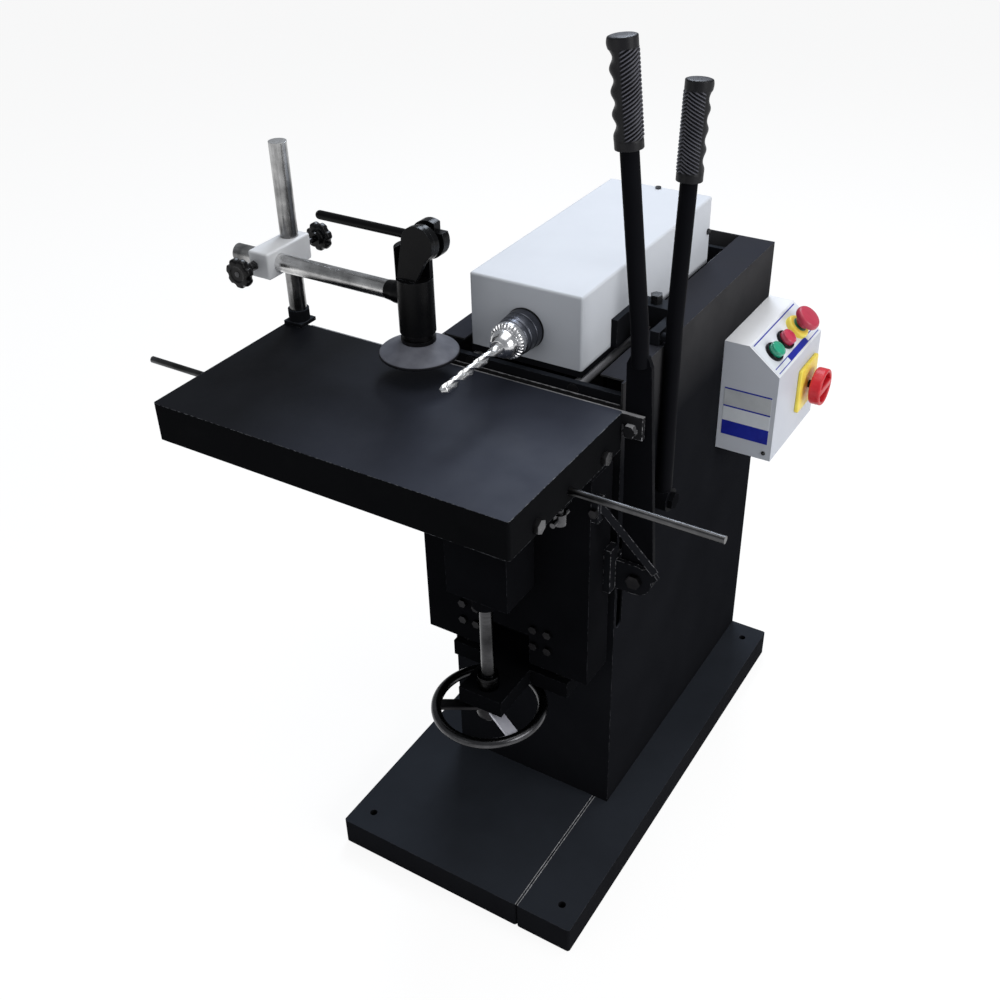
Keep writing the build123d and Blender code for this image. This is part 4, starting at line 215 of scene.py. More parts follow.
def painted(name, dark, light, roughness, level, edge_wear_and_glint, wear, peel=0.12, round_edge=1.2, sides=0.0,
            top_sheen_and_wear=None, sheen_by_height=None, sheen_spread=None):
    """Sprayed paint: faint patches between two shades, fine orange peel, and edges rubbed to another shade,
    which on some paints is also a painted highlight along the edges.

    Upright faces are rougher than level ones by sides. Level faces can take a shade of their own: a painted
    sheen on most paints, bare worn metal on the strip's paint; it grows between two places along x when these
    are given.
    A shade given with two heights is a painted sheen that the paint goes over to between them."""
    finish, tree, shader = fresh_finish(name, dark, 0.0, roughness)
    shader.inputs["Specular IOR Level"].default_value = level
    patches = cloud(tree, PAINT_PATCHES, 4.0)
    colour = blend_colours(tree, spread(tree, patches, 0.0, 1.0), dark, light)
    # A paler painted sheen that the paint goes over to between two heights
    if sheen_by_height:
        share = times(tree, between(tree, "Z", *sheen_by_height[1:]), spread(tree, patches, 0.6, 1.0))
        colour = blend_colours(tree, share, colour, sheen_by_height[0])
    # Level faces: a painted sheen, or bare worn metal on the strip's paint
    if top_sheen_and_wear:
        share = times(tree, facing_up(tree, 0.0, 1.0), spread(tree, patches, 0.7, 1.0))
        if sheen_spread:
            share = times(tree, share, between(tree, "X", *sheen_spread, 0.10, 1.0))
        colour = blend_colours(tree, share, colour, top_sheen_and_wear)
    normal, edge = soft_edges(tree, round_edge)
    # Pale edges: wear, and on some paints a painted highlight along the edges
    chips_and_glints = spread(tree, cloud(tree, PAINT_CHIPS_AND_GLINTS, 5.0), 0.0, wear, 0.45, 0.62)
    colour = blend_colours(tree, times(tree, edge, chips_and_glints), colour, edge_wear_and_glint)
    tree.links.new(colour, shader.inputs["Base Color"])
    smears = spread(tree, cloud(tree, PAINT_SMEARS, 3.0), roughness - 0.06, roughness + 0.07)
    if sides:
        smears = combine(tree, "ADD", smears, facing_up(tree, sides, 0.0))
    tree.links.new(smears, shader.inputs["Roughness"])
    raise_grain(tree, shader, cloud(tree, PAINT_PEEL, 2.0), peel, 0.25, normal)
    return finish


def bare_metal(name, dark, light, roughness, stretch, grain=0.15, metal=1.0, cut=None, ends=None):
    """Turned or drawn metal: fine lines drawn out by a stretch, which the roughness follows, and dark stains.

    Level faces take the shade of cut, faces to the front the shade of ends."""
    finish, tree, shader = fresh_finish(name, light, metal, roughness)
    lines = cloud(tree, METAL_LINES, 6.0, stretch, 0.7)
    stains = cloud(tree, METAL_STAINS, 4.0)
    stained = blend_colours(tree, spread(tree, stains, 0.0, 1.0, 0.35, 0.65), light, dark)
    colour = blend_colours(tree, spread(tree, lines, 0.0, 0.5, 0.4, 0.75), stained, dark)
    if cut:
        colour = blend_colours(tree, facing_up(tree, 0.0, 1.0), colour, cut)
    if ends:
        colour = blend_colours(tree, facing_front(tree), colour, ends)
    tree.links.new(colour, shader.inputs["Base Color"])
    tree.links.new(spread(tree, lines, roughness - 0.07, roughness + 0.1), shader.inputs["Roughness"])
    normal, _ = soft_edges(tree, 0.6)
    raise_grain(tree, shader, lines, grain, 0.1, normal)
    return finish


def moulded(name, dark, light, roughness, level=0.5, grain=0.1, coat=0.0, rib_highlight=None):
    """Moulded plastic or rubber: a fine even grain and faint rubbed patches.

    The ribs' tops and the grip's dome take a painted highlight in this shade, which the piece marks point by
    point."""
    finish, tree, shader = fresh_finish(name, light, 0.0, roughness)
    shader.inputs["Specular IOR Level"].default_value = level
    shader.inputs["Coat Weight"].default_value = coat
    rubbed = cloud(tree, PLASTIC_PATCHES, 4.0)
    colour = blend_colours(tree, spread(tree, rubbed, 0.0, 1.0), dark, light)
    if rib_highlight:
        mark = tree.nodes.new("ShaderNodeAttribute")
        mark.attribute_name = "rib_highlight"
        colour = blend_colours(tree, mark.outputs["Fac"], colour, rib_highlight)
    tree.links.new(colour, shader.inputs["Base Color"])
    tree.links.new(spread(tree, rubbed, roughness + 0.06, roughness - 0.05), shader.inputs["Roughness"])
    normal, _ = soft_edges(tree, 0.5)
    raise_grain(tree, shader, cloud(tree, PLASTIC_GRAIN, 2.0), grain, 0.12, normal)
    return finish


# Shades that several paints share
BLACK = (0.0090, 0.0094, 0.0112)
BLACK_LIGHT = (0.0115, 0.0120, 0.0142)
# A bluish painted sheen on level faces
BLACK_TOP_SHEEN = (0.0280, 0.0320, 0.0400)
RUBBED = (0.085, 0.088, 0.100)

# Between which heights the column takes a paler painted sheen, and where along x the table's painted sheen
# grows
COLUMN_SHEEN_HEIGHTS = (760.0, 895.0)
TABLE_SHEEN_SPREAD = (-310.0, 120.0)

# The stretch of a metal's lines that run no one way
EVEN = (1.0, 1.0, 1.0)

# Level faces take a bluish painted sheen
black_paint = painted("black_paint", BLACK, BLACK_LIGHT, roughness=0.42, level=0.015, edge_wear_and_glint=RUBBED, wear=0.9,
                      sides=0.55, top_sheen_and_wear=BLACK_TOP_SHEEN)
# Level faces take a painted sheen, the sides a paler painted sheen towards the top, and the pale edges a
# painted highlight as well as wear
column_paint = painted("column_paint", BLACK, BLACK_LIGHT, roughness=0.42, level=0.0,
                       edge_wear_and_glint=(0.16, 0.165, 0.18), wear=1.0, peel=0.08, round_edge=1.0, sides=0.55,
                       top_sheen_and_wear=(0.034, 0.036, 0.045), sheen_by_height=((0.056, 0.055, 0.057), *COLUMN_SHEEN_HEIGHTS))
# A deeper black that paints the shade on the pieces under the table and round the knee
painted_shade_black = painted("painted_shade_black", (0.0040, 0.0042, 0.0050), (0.0060, 0.0062, 0.0074), roughness=0.45,
                      level=0.005, edge_wear_and_glint=RUBBED, wear=0.8, sides=0.5)
# Level faces take a bluish painted sheen that grows towards the right; the pale edges are a painted highlight
# as well as wear
table_paint = painted("table_paint", (0.0028, 0.0030, 0.0036), (0.0040, 0.0042, 0.0050), roughness=0.45,
                      level=0.05, edge_wear_and_glint=(0.30, 0.31, 0.33), wear=1.0, peel=0.10, round_edge=1.4, sides=0.55,
                      top_sheen_and_wear=(0.040, 0.045, 0.063), sheen_spread=TABLE_SHEEN_SPREAD)
lever_paint = painted("lever_paint", (0.0045, 0.0047, 0.0060), (0.0060, 0.0062, 0.0078), roughness=0.50,
                      level=0.012, edge_wear_and_glint=RUBBED, wear=0.4)
gloss_paint = painted("gloss_paint", (0.0030, 0.0031, 0.0036), (0.0045, 0.0046, 0.0052), roughness=0.28,
                      level=0.10, edge_wear_and_glint=RUBBED, wear=0.8)
# The pale edges are a painted highlight along the stay's edges as well as wear
stay_paint = painted("stay_paint", BLACK, BLACK_LIGHT, roughness=0.45, level=0.01, edge_wear_and_glint=(0.46, 0.46, 0.48),
                     wear=1.0, round_edge=1.6, sides=0.5)
# Level faces are pale: bare worn metal on the drive strip, a painted highlight on the edge beads
chipped_glint_paint = painted("chipped_glint_paint", (0.008, 0.008, 0.009), (0.020, 0.020, 0.022), roughness=0.45,
                        level=0.10, edge_wear_and_glint=(0.62, 0.62, 0.64), wear=1.0, peel=0.3, round_edge=2.4, sides=0.3,
                        top_sheen_and_wear=(0.34, 0.34, 0.35))
cover_paint = painted("cover_paint", (0.620, 0.645, 0.690), (0.660, 0.685, 0.730), roughness=0.48,
                      level=0.40, edge_wear_and_glint=(0.74, 0.76, 0.80), wear=0.5)
clamp_paint = painted("clamp_paint", (0.70, 0.71, 0.73), (0.80, 0.81, 0.83), roughness=0.45, level=0.45,
                      edge_wear_and_glint=(0.88, 0.89, 0.90), wear=0.6, peel=0.25, round_edge=2.0)
# The top takes a paler painted light
box_paint = painted("box_paint", (0.580, 0.605, 0.665), (0.620, 0.645, 0.705), roughness=0.46, level=0.40,
                    edge_wear_and_glint=(0.78, 0.79, 0.81), wear=0.5, top_sheen_and_wear=(0.95, 0.955, 0.97))
motor_paint = painted("motor_paint", (0.14, 0.15, 0.17), (0.18, 0.19, 0.21), roughness=0.5, level=0.4,
                      edge_wear_and_glint=(0.3, 0.3, 0.32), wear=0.6)
cast_iron = painted("cast_iron", (0.10, 0.10, 0.105), (0.16, 0.16, 0.165), roughness=0.62, level=0.4,
                    edge_wear_and_glint=(0.3, 0.3, 0.3), wear=0.6, peel=0.5)

post_steel = bare_metal("post_steel", (0.046, 0.046, 0.047), (0.50, 0.50, 0.50), roughness=0.24,
                        stretch=(3.0, 3.0, 0.25), cut=(0.80, 0.80, 0.80))
arm_steel = bare_metal("arm_steel", (0.13, 0.13, 0.13), (0.86, 0.855, 0.85), roughness=0.24,
                       stretch=(0.25, 3.0, 3.0))
rod_steel = bare_metal("rod_steel", (0.030, 0.030, 0.031), (0.120, 0.120, 0.124), roughness=0.28,
                       stretch=(0.3, 3.0, 3.0))
slide_steel = bare_metal("slide_steel", (0.40, 0.40, 0.42), (0.68, 0.68, 0.71), roughness=0.34,
                         stretch=(3.0, 0.3, 3.0), metal=0.4, ends=(0.012, 0.012, 0.014))
guide_steel = bare_metal("guide_steel", (0.05, 0.05, 0.055), (0.14, 0.14, 0.145), roughness=0.34,
                         stretch=(3.0, 3.0, 0.3))
screw_steel = bare_metal("screw_steel", (0.020, 0.020, 0.021), (0.070, 0.070, 0.073), roughness=0.22,
                         stretch=(0.5, 0.5, 6.0))
bolt_steel = bare_metal("bolt_steel", (0.03, 0.03, 0.032), (0.10, 0.10, 0.105), roughness=0.28, stretch=EVEN)
wheel_steel = bare_metal("wheel_steel", (0.030, 0.030, 0.032), (0.10, 0.10, 0.105), roughness=0.24,
                         stretch=EVEN, grain=0.05)
# A pale steel for one spoke only: a painted highlight
lit_spoke_steel = bare_metal("lit_spoke_steel", (0.62, 0.62, 0.70), (0.86, 0.86, 0.94), roughness=0.36,
                         stretch=EVEN, grain=0.05, metal=0.2)
drill_steel = bare_metal("drill_steel", (0.78, 0.78, 0.78), (0.95, 0.95, 0.94), roughness=0.28,
                         stretch=(4.0, 1.0, 4.0), grain=0.08)
chrome = bare_metal("chrome", (0.50, 0.50, 0.52), (0.82, 0.82, 0.83), roughness=0.22,
                    stretch=(2.0, 2.0, 2.0), grain=0.05)
dark_steel = bare_metal("dark_steel", (0.045, 0.048, 0.060), (0.14, 0.147, 0.172), roughness=0.32,
                        stretch=(4.0, 0.6, 4.0))
black_oxide = bare_metal("black_oxide", (0.010, 0.010, 0.011), (0.030, 0.029, 0.031), roughness=0.40,
                         stretch=EVEN)

grip_rubber = moulded("grip_rubber", (0.0045, 0.0045, 0.0058), (0.0075, 0.0075, 0.0095), roughness=0.42,
                      level=0.20, grain=0.2, rib_highlight=(0.105, 0.105, 0.125))
foot_rubber = moulded("foot_rubber", (0.085, 0.088, 0.108), (0.125, 0.130, 0.155), roughness=0.62,
                      level=0.40, grain=0.4)
rim_rubber = moulded("rim_rubber", (0.006, 0.006, 0.008), (0.010, 0.010, 0.013), roughness=0.60,
                     level=0.15, grain=0.4)
belt_rubber = moulded("belt_rubber", (0.012, 0.012, 0.012), (0.022, 0.022, 0.022), roughness=0.70,
                      level=0.30, grain=0.5)
knob_plastic = moulded("knob_plastic", (0.0030, 0.0030, 0.0034), (0.0050, 0.0050, 0.0056), roughness=0.24,
                       level=0.16, grain=0.05)
green_lens = moulded("green_lens", (0.008, 0.270, 0.150), (0.016, 0.380, 0.220), roughness=0.20, grain=0.05,
                     coat=0.6)
red_lens = moulded("red_lens", (0.48, 0.030, 0.070), (0.60, 0.050, 0.100), roughness=0.24, grain=0.05,
                   coat=0.4)
red_plastic = moulded("red_plastic", (0.56, 0.012, 0.022), (0.68, 0.022, 0.034), roughness=0.36, level=0.45)
rose_plastic = moulded("rose_plastic", (0.46, 0.035, 0.070), (0.54, 0.050, 0.092), roughness=0.36, level=0.45)
yellow_plastic = moulded("yellow_plastic", (0.90, 0.68, 0.070), (0.97, 0.82, 0.120), roughness=0.40)
green_plastic = moulded("green_plastic", (0.05, 0.24, 0.10), (0.08, 0.32, 0.14), roughness=0.4)
panel_white = moulded("panel_white", (0.70, 0.73, 0.77), (0.76, 0.79, 0.83), roughness=0.35, level=0.45,
                      grain=0.05)
panel_blue = moulded("panel_blue", (0.008, 0.016, 0.30), (0.014, 0.026, 0.38), roughness=0.40, level=0.30,
                     grain=0.05)
plate_grey = moulded("plate_grey", (0.50, 0.52, 0.54), (0.58, 0.60, 0.62), roughness=0.35, level=0.45,
                     grain=0.05)

FINISH_OF = {
    black_paint: (
        "base_pan_wide", "base_pan_narrow", "rod_supports", "post_bracket", "carriage_plate",
        "head_slide_blocks", "feed_arm",
    ),
    gloss_paint: ("clamp_sleeve", "cam_lever"),
    painted_shade_black: (
        "guide_brackets", "knee_channel", "knee_apron", "saddle_plate", "knee_slide_blocks",
        "table_slide_blocks", "lift_nut", "feed_pivot_stud",
    ),
    column_paint: ("column_shell", "column_back"),
    stay_paint: ("lever_bracket",),
    table_paint: ("table_top",),
    lever_paint: ("feed_lever", "traverse_lever"),
    chipped_glint_paint: ("drive_strip",),
    cover_paint: ("head_cover",),
    clamp_paint: ("clamp_block",),
    box_paint: ("switch_box",),
    motor_paint: ("motor",),
    cast_iron: ("spindle_housing",),
    post_steel: ("clamp_post",),
    arm_steel: ("clamp_arm",),
    rod_steel: ("stop_rod", "table_guide_rods"),
    slide_steel: ("head_guide_rods", "spindle_shaft", "motor_shaft"),
    guide_steel: ("guide_bars",),
    screw_steel: ("lift_screw",),
    bolt_steel: ("back_panel_screws", "head_screws", "table_end_bolts", "rod_lock_screw"),
    wheel_steel: ("handwheel",),
    drill_steel: ("drill_bit",),
    chrome: ("chuck_sleeve",),
    dark_steel: ("chuck_body",),
    black_oxide: ("plunger", "knee_bolts"),
    grip_rubber: ("feed_grip", "traverse_grip"),
    foot_rubber: ("clamp_foot",),
    belt_rubber: ("drive_belt",),
    knob_plastic: ("arm_knob", "post_knob", "button_bezels"),
    green_lens: ("start_button",),
    red_lens: ("stop_button",),
    red_plastic: ("estop_button", "main_switch"),
    yellow_plastic: ("switch_backplates",),
}
for finish, names in FINISH_OF.items():
    for name in names:
        cad_nodes[name].data.materials.clear()
        cad_nodes[name].data.materials.append(finish)

# Surfaces, with the points on a softened corner and on a block's round corner
CORNER_STEPS = 5
BLOCK_STEPS = 6


def directions(axis, up=None):
    """Two unit directions square to an axis and to each other, with the unit axis; the first leans to up."""
    axis = np.asarray(axis, float) / np.linalg.norm(axis)
    if up is None:
        up = UP if abs(axis[2]) < 0.9 else TO_RIGHT
    hint = np.asarray(up, float)
    first = hint - axis * (hint @ axis)
    first /= np.linalg.norm(first)
    return first, np.cross(axis, first), axis


def skin(points, finish=0, capped=True, loop=False):
    """A skin of quads over a grid of points, closed round its second way; fans to the middle close its ends.

    A loop joins the last ring to the first instead."""
    rows, around = points.shape[:2]
    ring = np.arange(around)
    after = np.roll(ring, -1)
    steps = np.arange(rows if loop else rows - 1)[:, None]
    upper = (steps + 1) % rows
    quads = np.stack(
        (steps * around + ring, steps * around + after, upper * around + after, upper * around + ring), -1
    ).reshape(-1, 4)
    verts = points.reshape(-1, 3)
    faces = quads.tolist()
    if capped and not loop:
        for row, first, second in ((0, after, ring), (rows - 1, ring, after)):
            middle = np.full(around, len(verts))
            verts = np.vstack((verts, points[row].mean(0)))
            faces += np.stack((middle, row * around + first, row * around + second), -1).tolist()
    return verts, faces, finish


def turned(profile, origin, axis, finish=0, around=64, loop=False):
    """A profile of radius and height carried round an axis.

    Each point is the origin, plus the radius times the cosine and sine square to the axis, plus the height
    along it."""
    first, second, along = directions(axis)
    angle = np.linspace(0, TURN, around, endpoint=False)
    radius, height = np.asarray(profile, float).T
    rim = np.cos(angle)[:, None] * first + np.sin(angle)[:, None] * second
    points = np.asarray(origin) + radius[:, None, None] * rim + height[:, None, None] * along
    return skin(points, finish, loop=loop)


def softened(corners, radius):
    """A profile with each inner corner replaced by a curve.

    The curve is the quadratic blend of a point before the corner, the corner itself and a point after it."""
    corners = np.asarray(corners, float)
    out = [corners[:1]]
    share = np.linspace(0, 1, CORNER_STEPS)[:, None]
    for before, corner, after in zip(corners[:-2], corners[1:-1], corners[2:]):
        back = before - corner
        ahead = after - corner
        start = corner + back * min(0.45, radius / np.linalg.norm(back))
        end = corner + ahead * min(0.45, radius / np.linalg.norm(ahead))
        out.append((1 - share) ** 2 * start + 2 * share * (1 - share) * corner + share**2 * end)
    return np.vstack(out + [corners[-1:]])


def rounded_block(size, corner, edge, origin, axis, up, finish=0):
    """A block on an axis: a rectangle with round corners, drawn in along a quarter circle at both its ends.

    Size is along the up direction, across it, and along the axis from the origin."""
    first, second, along = directions(axis, up)
    half = np.array(size[:2]) / 2 - corner
    quarter = np.linspace(0, math.pi / 2, BLOCK_STEPS)
    angle = (quarter + np.arange(4)[:, None] * math.pi / 2).ravel()
    signs = np.repeat(np.array([(1, 1), (-1, 1), (-1, -1), (1, -1)]), BLOCK_STEPS, axis=0) * half
    curve = np.linspace(0, math.pi / 2, CORNER_STEPS)
    drawn = np.concatenate((edge * (1 - np.sin(curve)), edge * (1 - np.cos(curve))))
    height = np.concatenate((edge * (1 - np.cos(curve)), size[2] - edge * (1 - np.sin(curve))))
    reach = corner - drawn
    flat = signs + reach[:, None, None] * np.stack((np.cos(angle), np.sin(angle)), -1)
    points = np.asarray(origin) + flat[..., :1] * first + flat[..., 1:] * second
    return skin(points + height[:, None, None] * along, finish)


def piece(name, body, finishes, shells, replaced=(), sharp=40.0):
    """One object from several shells, riding on a body, smooth but for edges sharper than an angle."""
    verts, faces, finish_of = [], [], []
    start = 0
    for points, shell_faces, finish in shells:
        verts.append(points)
        faces += [[start + i for i in face] for face in shell_faces]
        finish_of += [finish] * len(shell_faces)
        start += len(points)
    mesh = bpy.data.meshes.new(name)
    mesh.from_pydata((np.vstack(verts) * MM).tolist(), [], faces)
    mesh.polygons.foreach_set("material_index", finish_of)
    mesh.polygons.foreach_set("use_smooth", [True] * len(faces))
    mesh.set_sharp_from_angle(angle=math.radians(sharp))
    for finish in finishes:
        mesh.materials.append(finish)
    mesh.update()
    thing = bpy.data.objects.new(name, mesh)
    bpy.context.scene.collection.objects.link(thing)
    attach(thing, body)
    if replaced:
        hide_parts(*replaced)
    return thing


def rise(value, low, high):
    """A smooth step from 0 below low to 1 above high."""
    share = np.clip((value - low) / (high - low), 0, 1)
    return share * share * (3 - 2 * share)


# Lever grips; a pair is where a step begins and ends: heights, or for a side angles from the palm
GRIP_LENGTH = 136.0
GRIP_AROUND = 112
GRIP_RING_STEP = 0.55
GRIP_FINE_RINGS = 2.0
GRIP_EDGE = 1.6
GRIP_COLLAR = 18.8
GRIP_LOW_COLLAR = (10.0, 14.0)
GRIP_BELOW_SHOULDER = (16.0, 13.0)
GRIP_WAIST = 18.2
GRIP_LIP = 1.8
GRIP_LIP_LENGTH = 17.5
GRIP_DEEP = 14.6
GRIP_RIDGE = 0.8
FINGER_PITCH = 26.9
FINGER_START = 16.3
FINGER_FADE = 2.0
FINGER_SIDE = (1.5, 2.6)
RIB_START = (12.0, 15.0)
RIB_SIDE = (1.30, 1.46)
RIB_HEIGHT = 2.4
RIB_VALLEY = 1.0
RIB_PITCH = 5.0
RIB_CLIMB = 0.55
GRIP_DOME = 1.2
DOME_RINGS = (0.94, 0.84, 0.68, 0.45, 0.2)
DOME_HIGHLIGHT = 0.25
FEED_PALM = (-0.37, -0.93, 0)


def grip(bend, top, palm):
    """A moulded hand grip: the radius over height and angle from the palm.

    Collars at both ends, the upper one with a lip on the finger side that swells and falls like a half
    sine; four finger hollows, a raised cosine along the height, fade in opposite the palm; chevron ribs, a
    clipped sine of the height plus a climb with the angle from the palm, cover the palm. The edges are
    drawn in along a quarter circle, and a low dome, a quarter ellipse, closes the top."""
    top = np.asarray(top)
    axis = (top - np.asarray(bend)) / np.linalg.norm(top - np.asarray(bend))
    first, second, along = directions(axis, palm)
    shoulder = GRIP_LENGTH - GRIP_DOME
    height = np.concatenate((
        np.linspace(0, GRIP_EDGE, CORNER_STEPS),
        np.arange(GRIP_FINE_RINGS, shoulder - GRIP_FINE_RINGS, GRIP_RING_STEP),
        np.linspace(shoulder - GRIP_EDGE, shoulder, CORNER_STEPS),
    ))[:, None]
    angle = np.linspace(-math.pi, math.pi, GRIP_AROUND, endpoint=False)[None, :]
    from_palm = np.abs(angle)
    below = 1 - rise(height, shoulder - GRIP_BELOW_SHOULDER[0], shoulder - GRIP_BELOW_SHOULDER[1])
    body = rise(height, *GRIP_LOW_COLLAR) * below
    radius = GRIP_COLLAR - (GRIP_COLLAR - GRIP_WAIST) * body
    finger = rise(from_palm, *FINGER_SIDE)
    wave = 0.5 - 0.5 * np.cos(TURN * (height - FINGER_START) / FINGER_PITCH)
    hollow = rise(height, FINGER_START - FINGER_FADE, FINGER_START + FINGER_FADE)
    depth = GRIP_WAIST + GRIP_RIDGE - GRIP_DEEP
    radius = radius + finger * body * (GRIP_RIDGE - depth * wave * hollow)
    lip = np.clip((height - shoulder + GRIP_BELOW_SHOULDER[0]) / GRIP_LIP_LENGTH, 0, 1)
    radius = radius + finger * GRIP_LIP * np.sin(math.pi * lip)
    ribbed = (1 - rise(from_palm, *RIB_SIDE)) * rise(height, *RIB_START) * below
    climb = height + RIB_CLIMB * GRIP_WAIST * from_palm
    rib = np.clip(0.5 + 0.9 * np.sin(TURN * climb / RIB_PITCH), 0, 1)
    radius = radius + ribbed * (RIB_HEIGHT * rib - RIB_VALLEY)
    inward = 1 - np.clip(np.minimum(height, shoulder - height) / GRIP_EDGE, 0, 1)
    radius = radius - GRIP_EDGE * (1 - np.sqrt(np.clip(1 - inward**2, 0, 1)))
    rim = np.cos(angle)[..., None] * first + np.sin(angle)[..., None] * second
    base = top - axis * GRIP_LENGTH
    points = base + radius[..., None] * rim + height[..., None] * along
    inner = np.array(DOME_RINGS)[:, None, None]
    crown = base + along * shoulder
    dome = crown + (points[-1:] - crown) * inner + GRIP_DOME * np.sqrt(1 - inner**2) * along
    points = np.concatenate((points, dome))
    # Painted highlight: a share on the dome and on each rib's top
    rib_highlight = np.full(points.shape[0] * points.shape[1] + 2, DOME_HIGHLIGHT)
    rib_highlight[:rib.size] = (ribbed * rise(rib, 0.5, 1.0)).ravel()
    return skin(points), rib_highlight


def hand_grip(name, body, node, bend, top, palm):
    """A grip as a piece of its own, with a painted highlight marked on its ribs' tops and dome for the
    rubber.
    """
    shell, rib_highlight = grip(bend, top, palm)
    thing = piece(name, body, [grip_rubber], [shell], [node])
    thing.data.attributes.new("rib_highlight", "FLOAT", "POINT").data.foreach_set("value", rib_highlight)


hand_grip("traverse_hand_grip", "traverse_lever", "traverse_grip", TRAVERSE_BEND, TRAVERSE_TOP, TO_RIGHT)
hand_grip("feed_hand_grip", "feed_lever", "feed_grip", FEED_BEND, FEED_TOP, FEED_PALM)


# Twist drill
DRILL_RADIUS = 7.0
DRILL_WEB = 1.7
DRILL_LEAD = 78.0
DRILL_POINT = 5.0
DRILL_LAND = 0.42
DRILL_MARGIN = 0.35
DRILL_MARGIN_END = (0.10, 0.13)
DRILL_CHISEL = 0.25
DRILL_HELD = 18.0
DRILL_FADE_FROM_END = (42.0, 26.0)
DRILL_RING_STEP = 0.8


def twist_drill():
    """A twist drill: the angle turns with the length; two lands with a raised margin, two flutes between.

    A flute's radius is the land's less a half sine to a power, and fades out towards the chuck; the point
    is a cone that limits the radius."""
    length = CHUCK_NOSE_FRONT + DRILL_HELD - DRILL_TIP
    rings = np.arange(DRILL_POINT + 1, length, DRILL_RING_STEP)
    reach = np.concatenate((np.linspace(0, DRILL_POINT, 8), rings, [length]))[:, None]
    angle = np.linspace(0, TURN, 96, endpoint=False)[None, :]
    phase = (angle / math.pi) % 1.0
    flute = np.clip((phase - DRILL_LAND) / (1 - DRILL_LAND), 0, 1)
    depth = np.sin(math.pi * flute) ** 0.7 * (DRILL_RADIUS - DRILL_WEB)
    behind = rise(phase, *DRILL_MARGIN_END) * (1 - rise(phase, DRILL_LAND - 0.01, DRILL_LAND))
    fade = 1 - rise(reach, length - DRILL_FADE_FROM_END[0], length - DRILL_FADE_FROM_END[1])
    radius = DRILL_RADIUS - fade * (depth + DRILL_MARGIN * behind)
    radius = np.minimum(radius, DRILL_RADIUS * (reach + DRILL_CHISEL) / DRILL_POINT)
    twist = angle + TURN * reach / DRILL_LEAD
    x = SPINDLE[0] + radius * np.sin(twist)
    z = SPINDLE[1] + radius * np.cos(twist)
    y = np.broadcast_to(DRILL_TIP + reach, x.shape)
    return skin(np.stack((x, y, z), -1))


piece("twist_drill", "spindle", [drill_steel], [twist_drill()], ["drill_bit"], 55.0)


# Chuck
CHUCK_TEETH = 30
TOOTH_DEPTH = 2.6
NOSE_GAP = 0.2
JAWS = 3
JAW_TURN = 0.4
JAW_OUT = 8.6
JAW_BEHIND_NOSE = 4.0
JAW_SIZE = (3.0, 4.6, 3.9)


def on_spindle(y):
    """The point of the spindle's axis at y."""
    return np.array((SPINDLE[0], y, SPINDLE[1]))


def tooth_ring():
    """The chuck's key ring: a plain band, then a bevel with teeth.

    Between teeth the bevel's radius falls by a clipped cosine of the angle."""
    depth = np.array([24.0, 24.6, 26.0, 33.2, 34.2, 36.6, 38.0, 38.0])
    radius = np.array([27.0, 27.5, 27.7, 27.7, 27.4, 25.8, 24.2, 20.5])
    cut = np.array([0.0, 0.0, 0.0, 0.0, 0.7, 1.0, 1.0, 0.2])
    angle = np.linspace(0, TURN, CHUCK_TEETH * 12, endpoint=False)
    gap = np.clip(0.35 + 0.9 * np.cos(angle * CHUCK_TEETH), 0, 1)
    ring = radius[:, None] - TOOTH_DEPTH * cut[:, None] * gap
    x = SPINDLE[0] + ring * np.sin(angle)
    z = SPINDLE[1] - ring * np.cos(angle)
    y = np.broadcast_to(CHUCK_SLEEVE_BACK - depth[:, None], x.shape)
    return skin(np.stack((x, y, z), -1), 1)


def chuck_barrel():
    """The chuck's dark barrel with rounded shoulders and a shallow groove."""
    profile = softened([(20, 0.1), (29.4, 0.1), (30.2, 1.2), (29.4, 13), (28.4, 14), (28.3, 16), (28.9, 17),
                        (28.2, 23), (26.6, 24.6), (20, 24.6)], 1.0)
    return turned(profile, on_spindle(CHUCK_SLEEVE_BACK), TO_FRONT, 0, 96)


def chuck_nose():
    """A rear collar, and a bright nose that curves in to the drill."""
    rear = softened([(13, 0), (29.7, 0), (30.5, 1), (30.5, 14), (29.6, 15), (13, 15)], 0.8)
    nose = softened([(10, 0), (20.6, 0), (21.6, 2.5), (20.2, 9), (16.4, 16), (12.2, 20.2), (11.2, 20.8),
                     (7.3, 20.8)], 2.0)
    return [turned(rear, on_spindle(CHUCK_BACK), TO_FRONT, 0),
            turned(nose, on_spindle(CHUCK_SLEEVE_FRONT - NOSE_GAP), TO_FRONT, 1)]


def chuck_jaws():
    """Jaws spread evenly around the drill, each a small rounded block at the nose."""
    shells = []
    for turn in np.arange(JAWS) * TURN / JAWS + JAW_TURN:
        out = np.array((math.sin(turn), 0.0, math.cos(turn)))
        origin = on_spindle(CHUCK_NOSE_FRONT + JAW_BEHIND_NOSE) + out * JAW_OUT
        shells.append(rounded_block(JAW_SIZE, 1.0, 0.8, origin, TO_FRONT, out, 1))
    return shells


piece("chuck_nose_and_jaws", "spindle", [dark_steel, chrome], chuck_nose() + chuck_jaws(),
      ["chuck_body"])
piece("chuck_key_ring", "chuck_sleeve", [dark_steel, chrome], [chuck_barrel(), tooth_ring()],
      ["chuck_sleeve"])


# Star knobs
KNOB_RADIUS = 23.4
KNOB_LOBES = 7
KNOB_NOTCH = 2.7
KNOB_STEM = 5.0


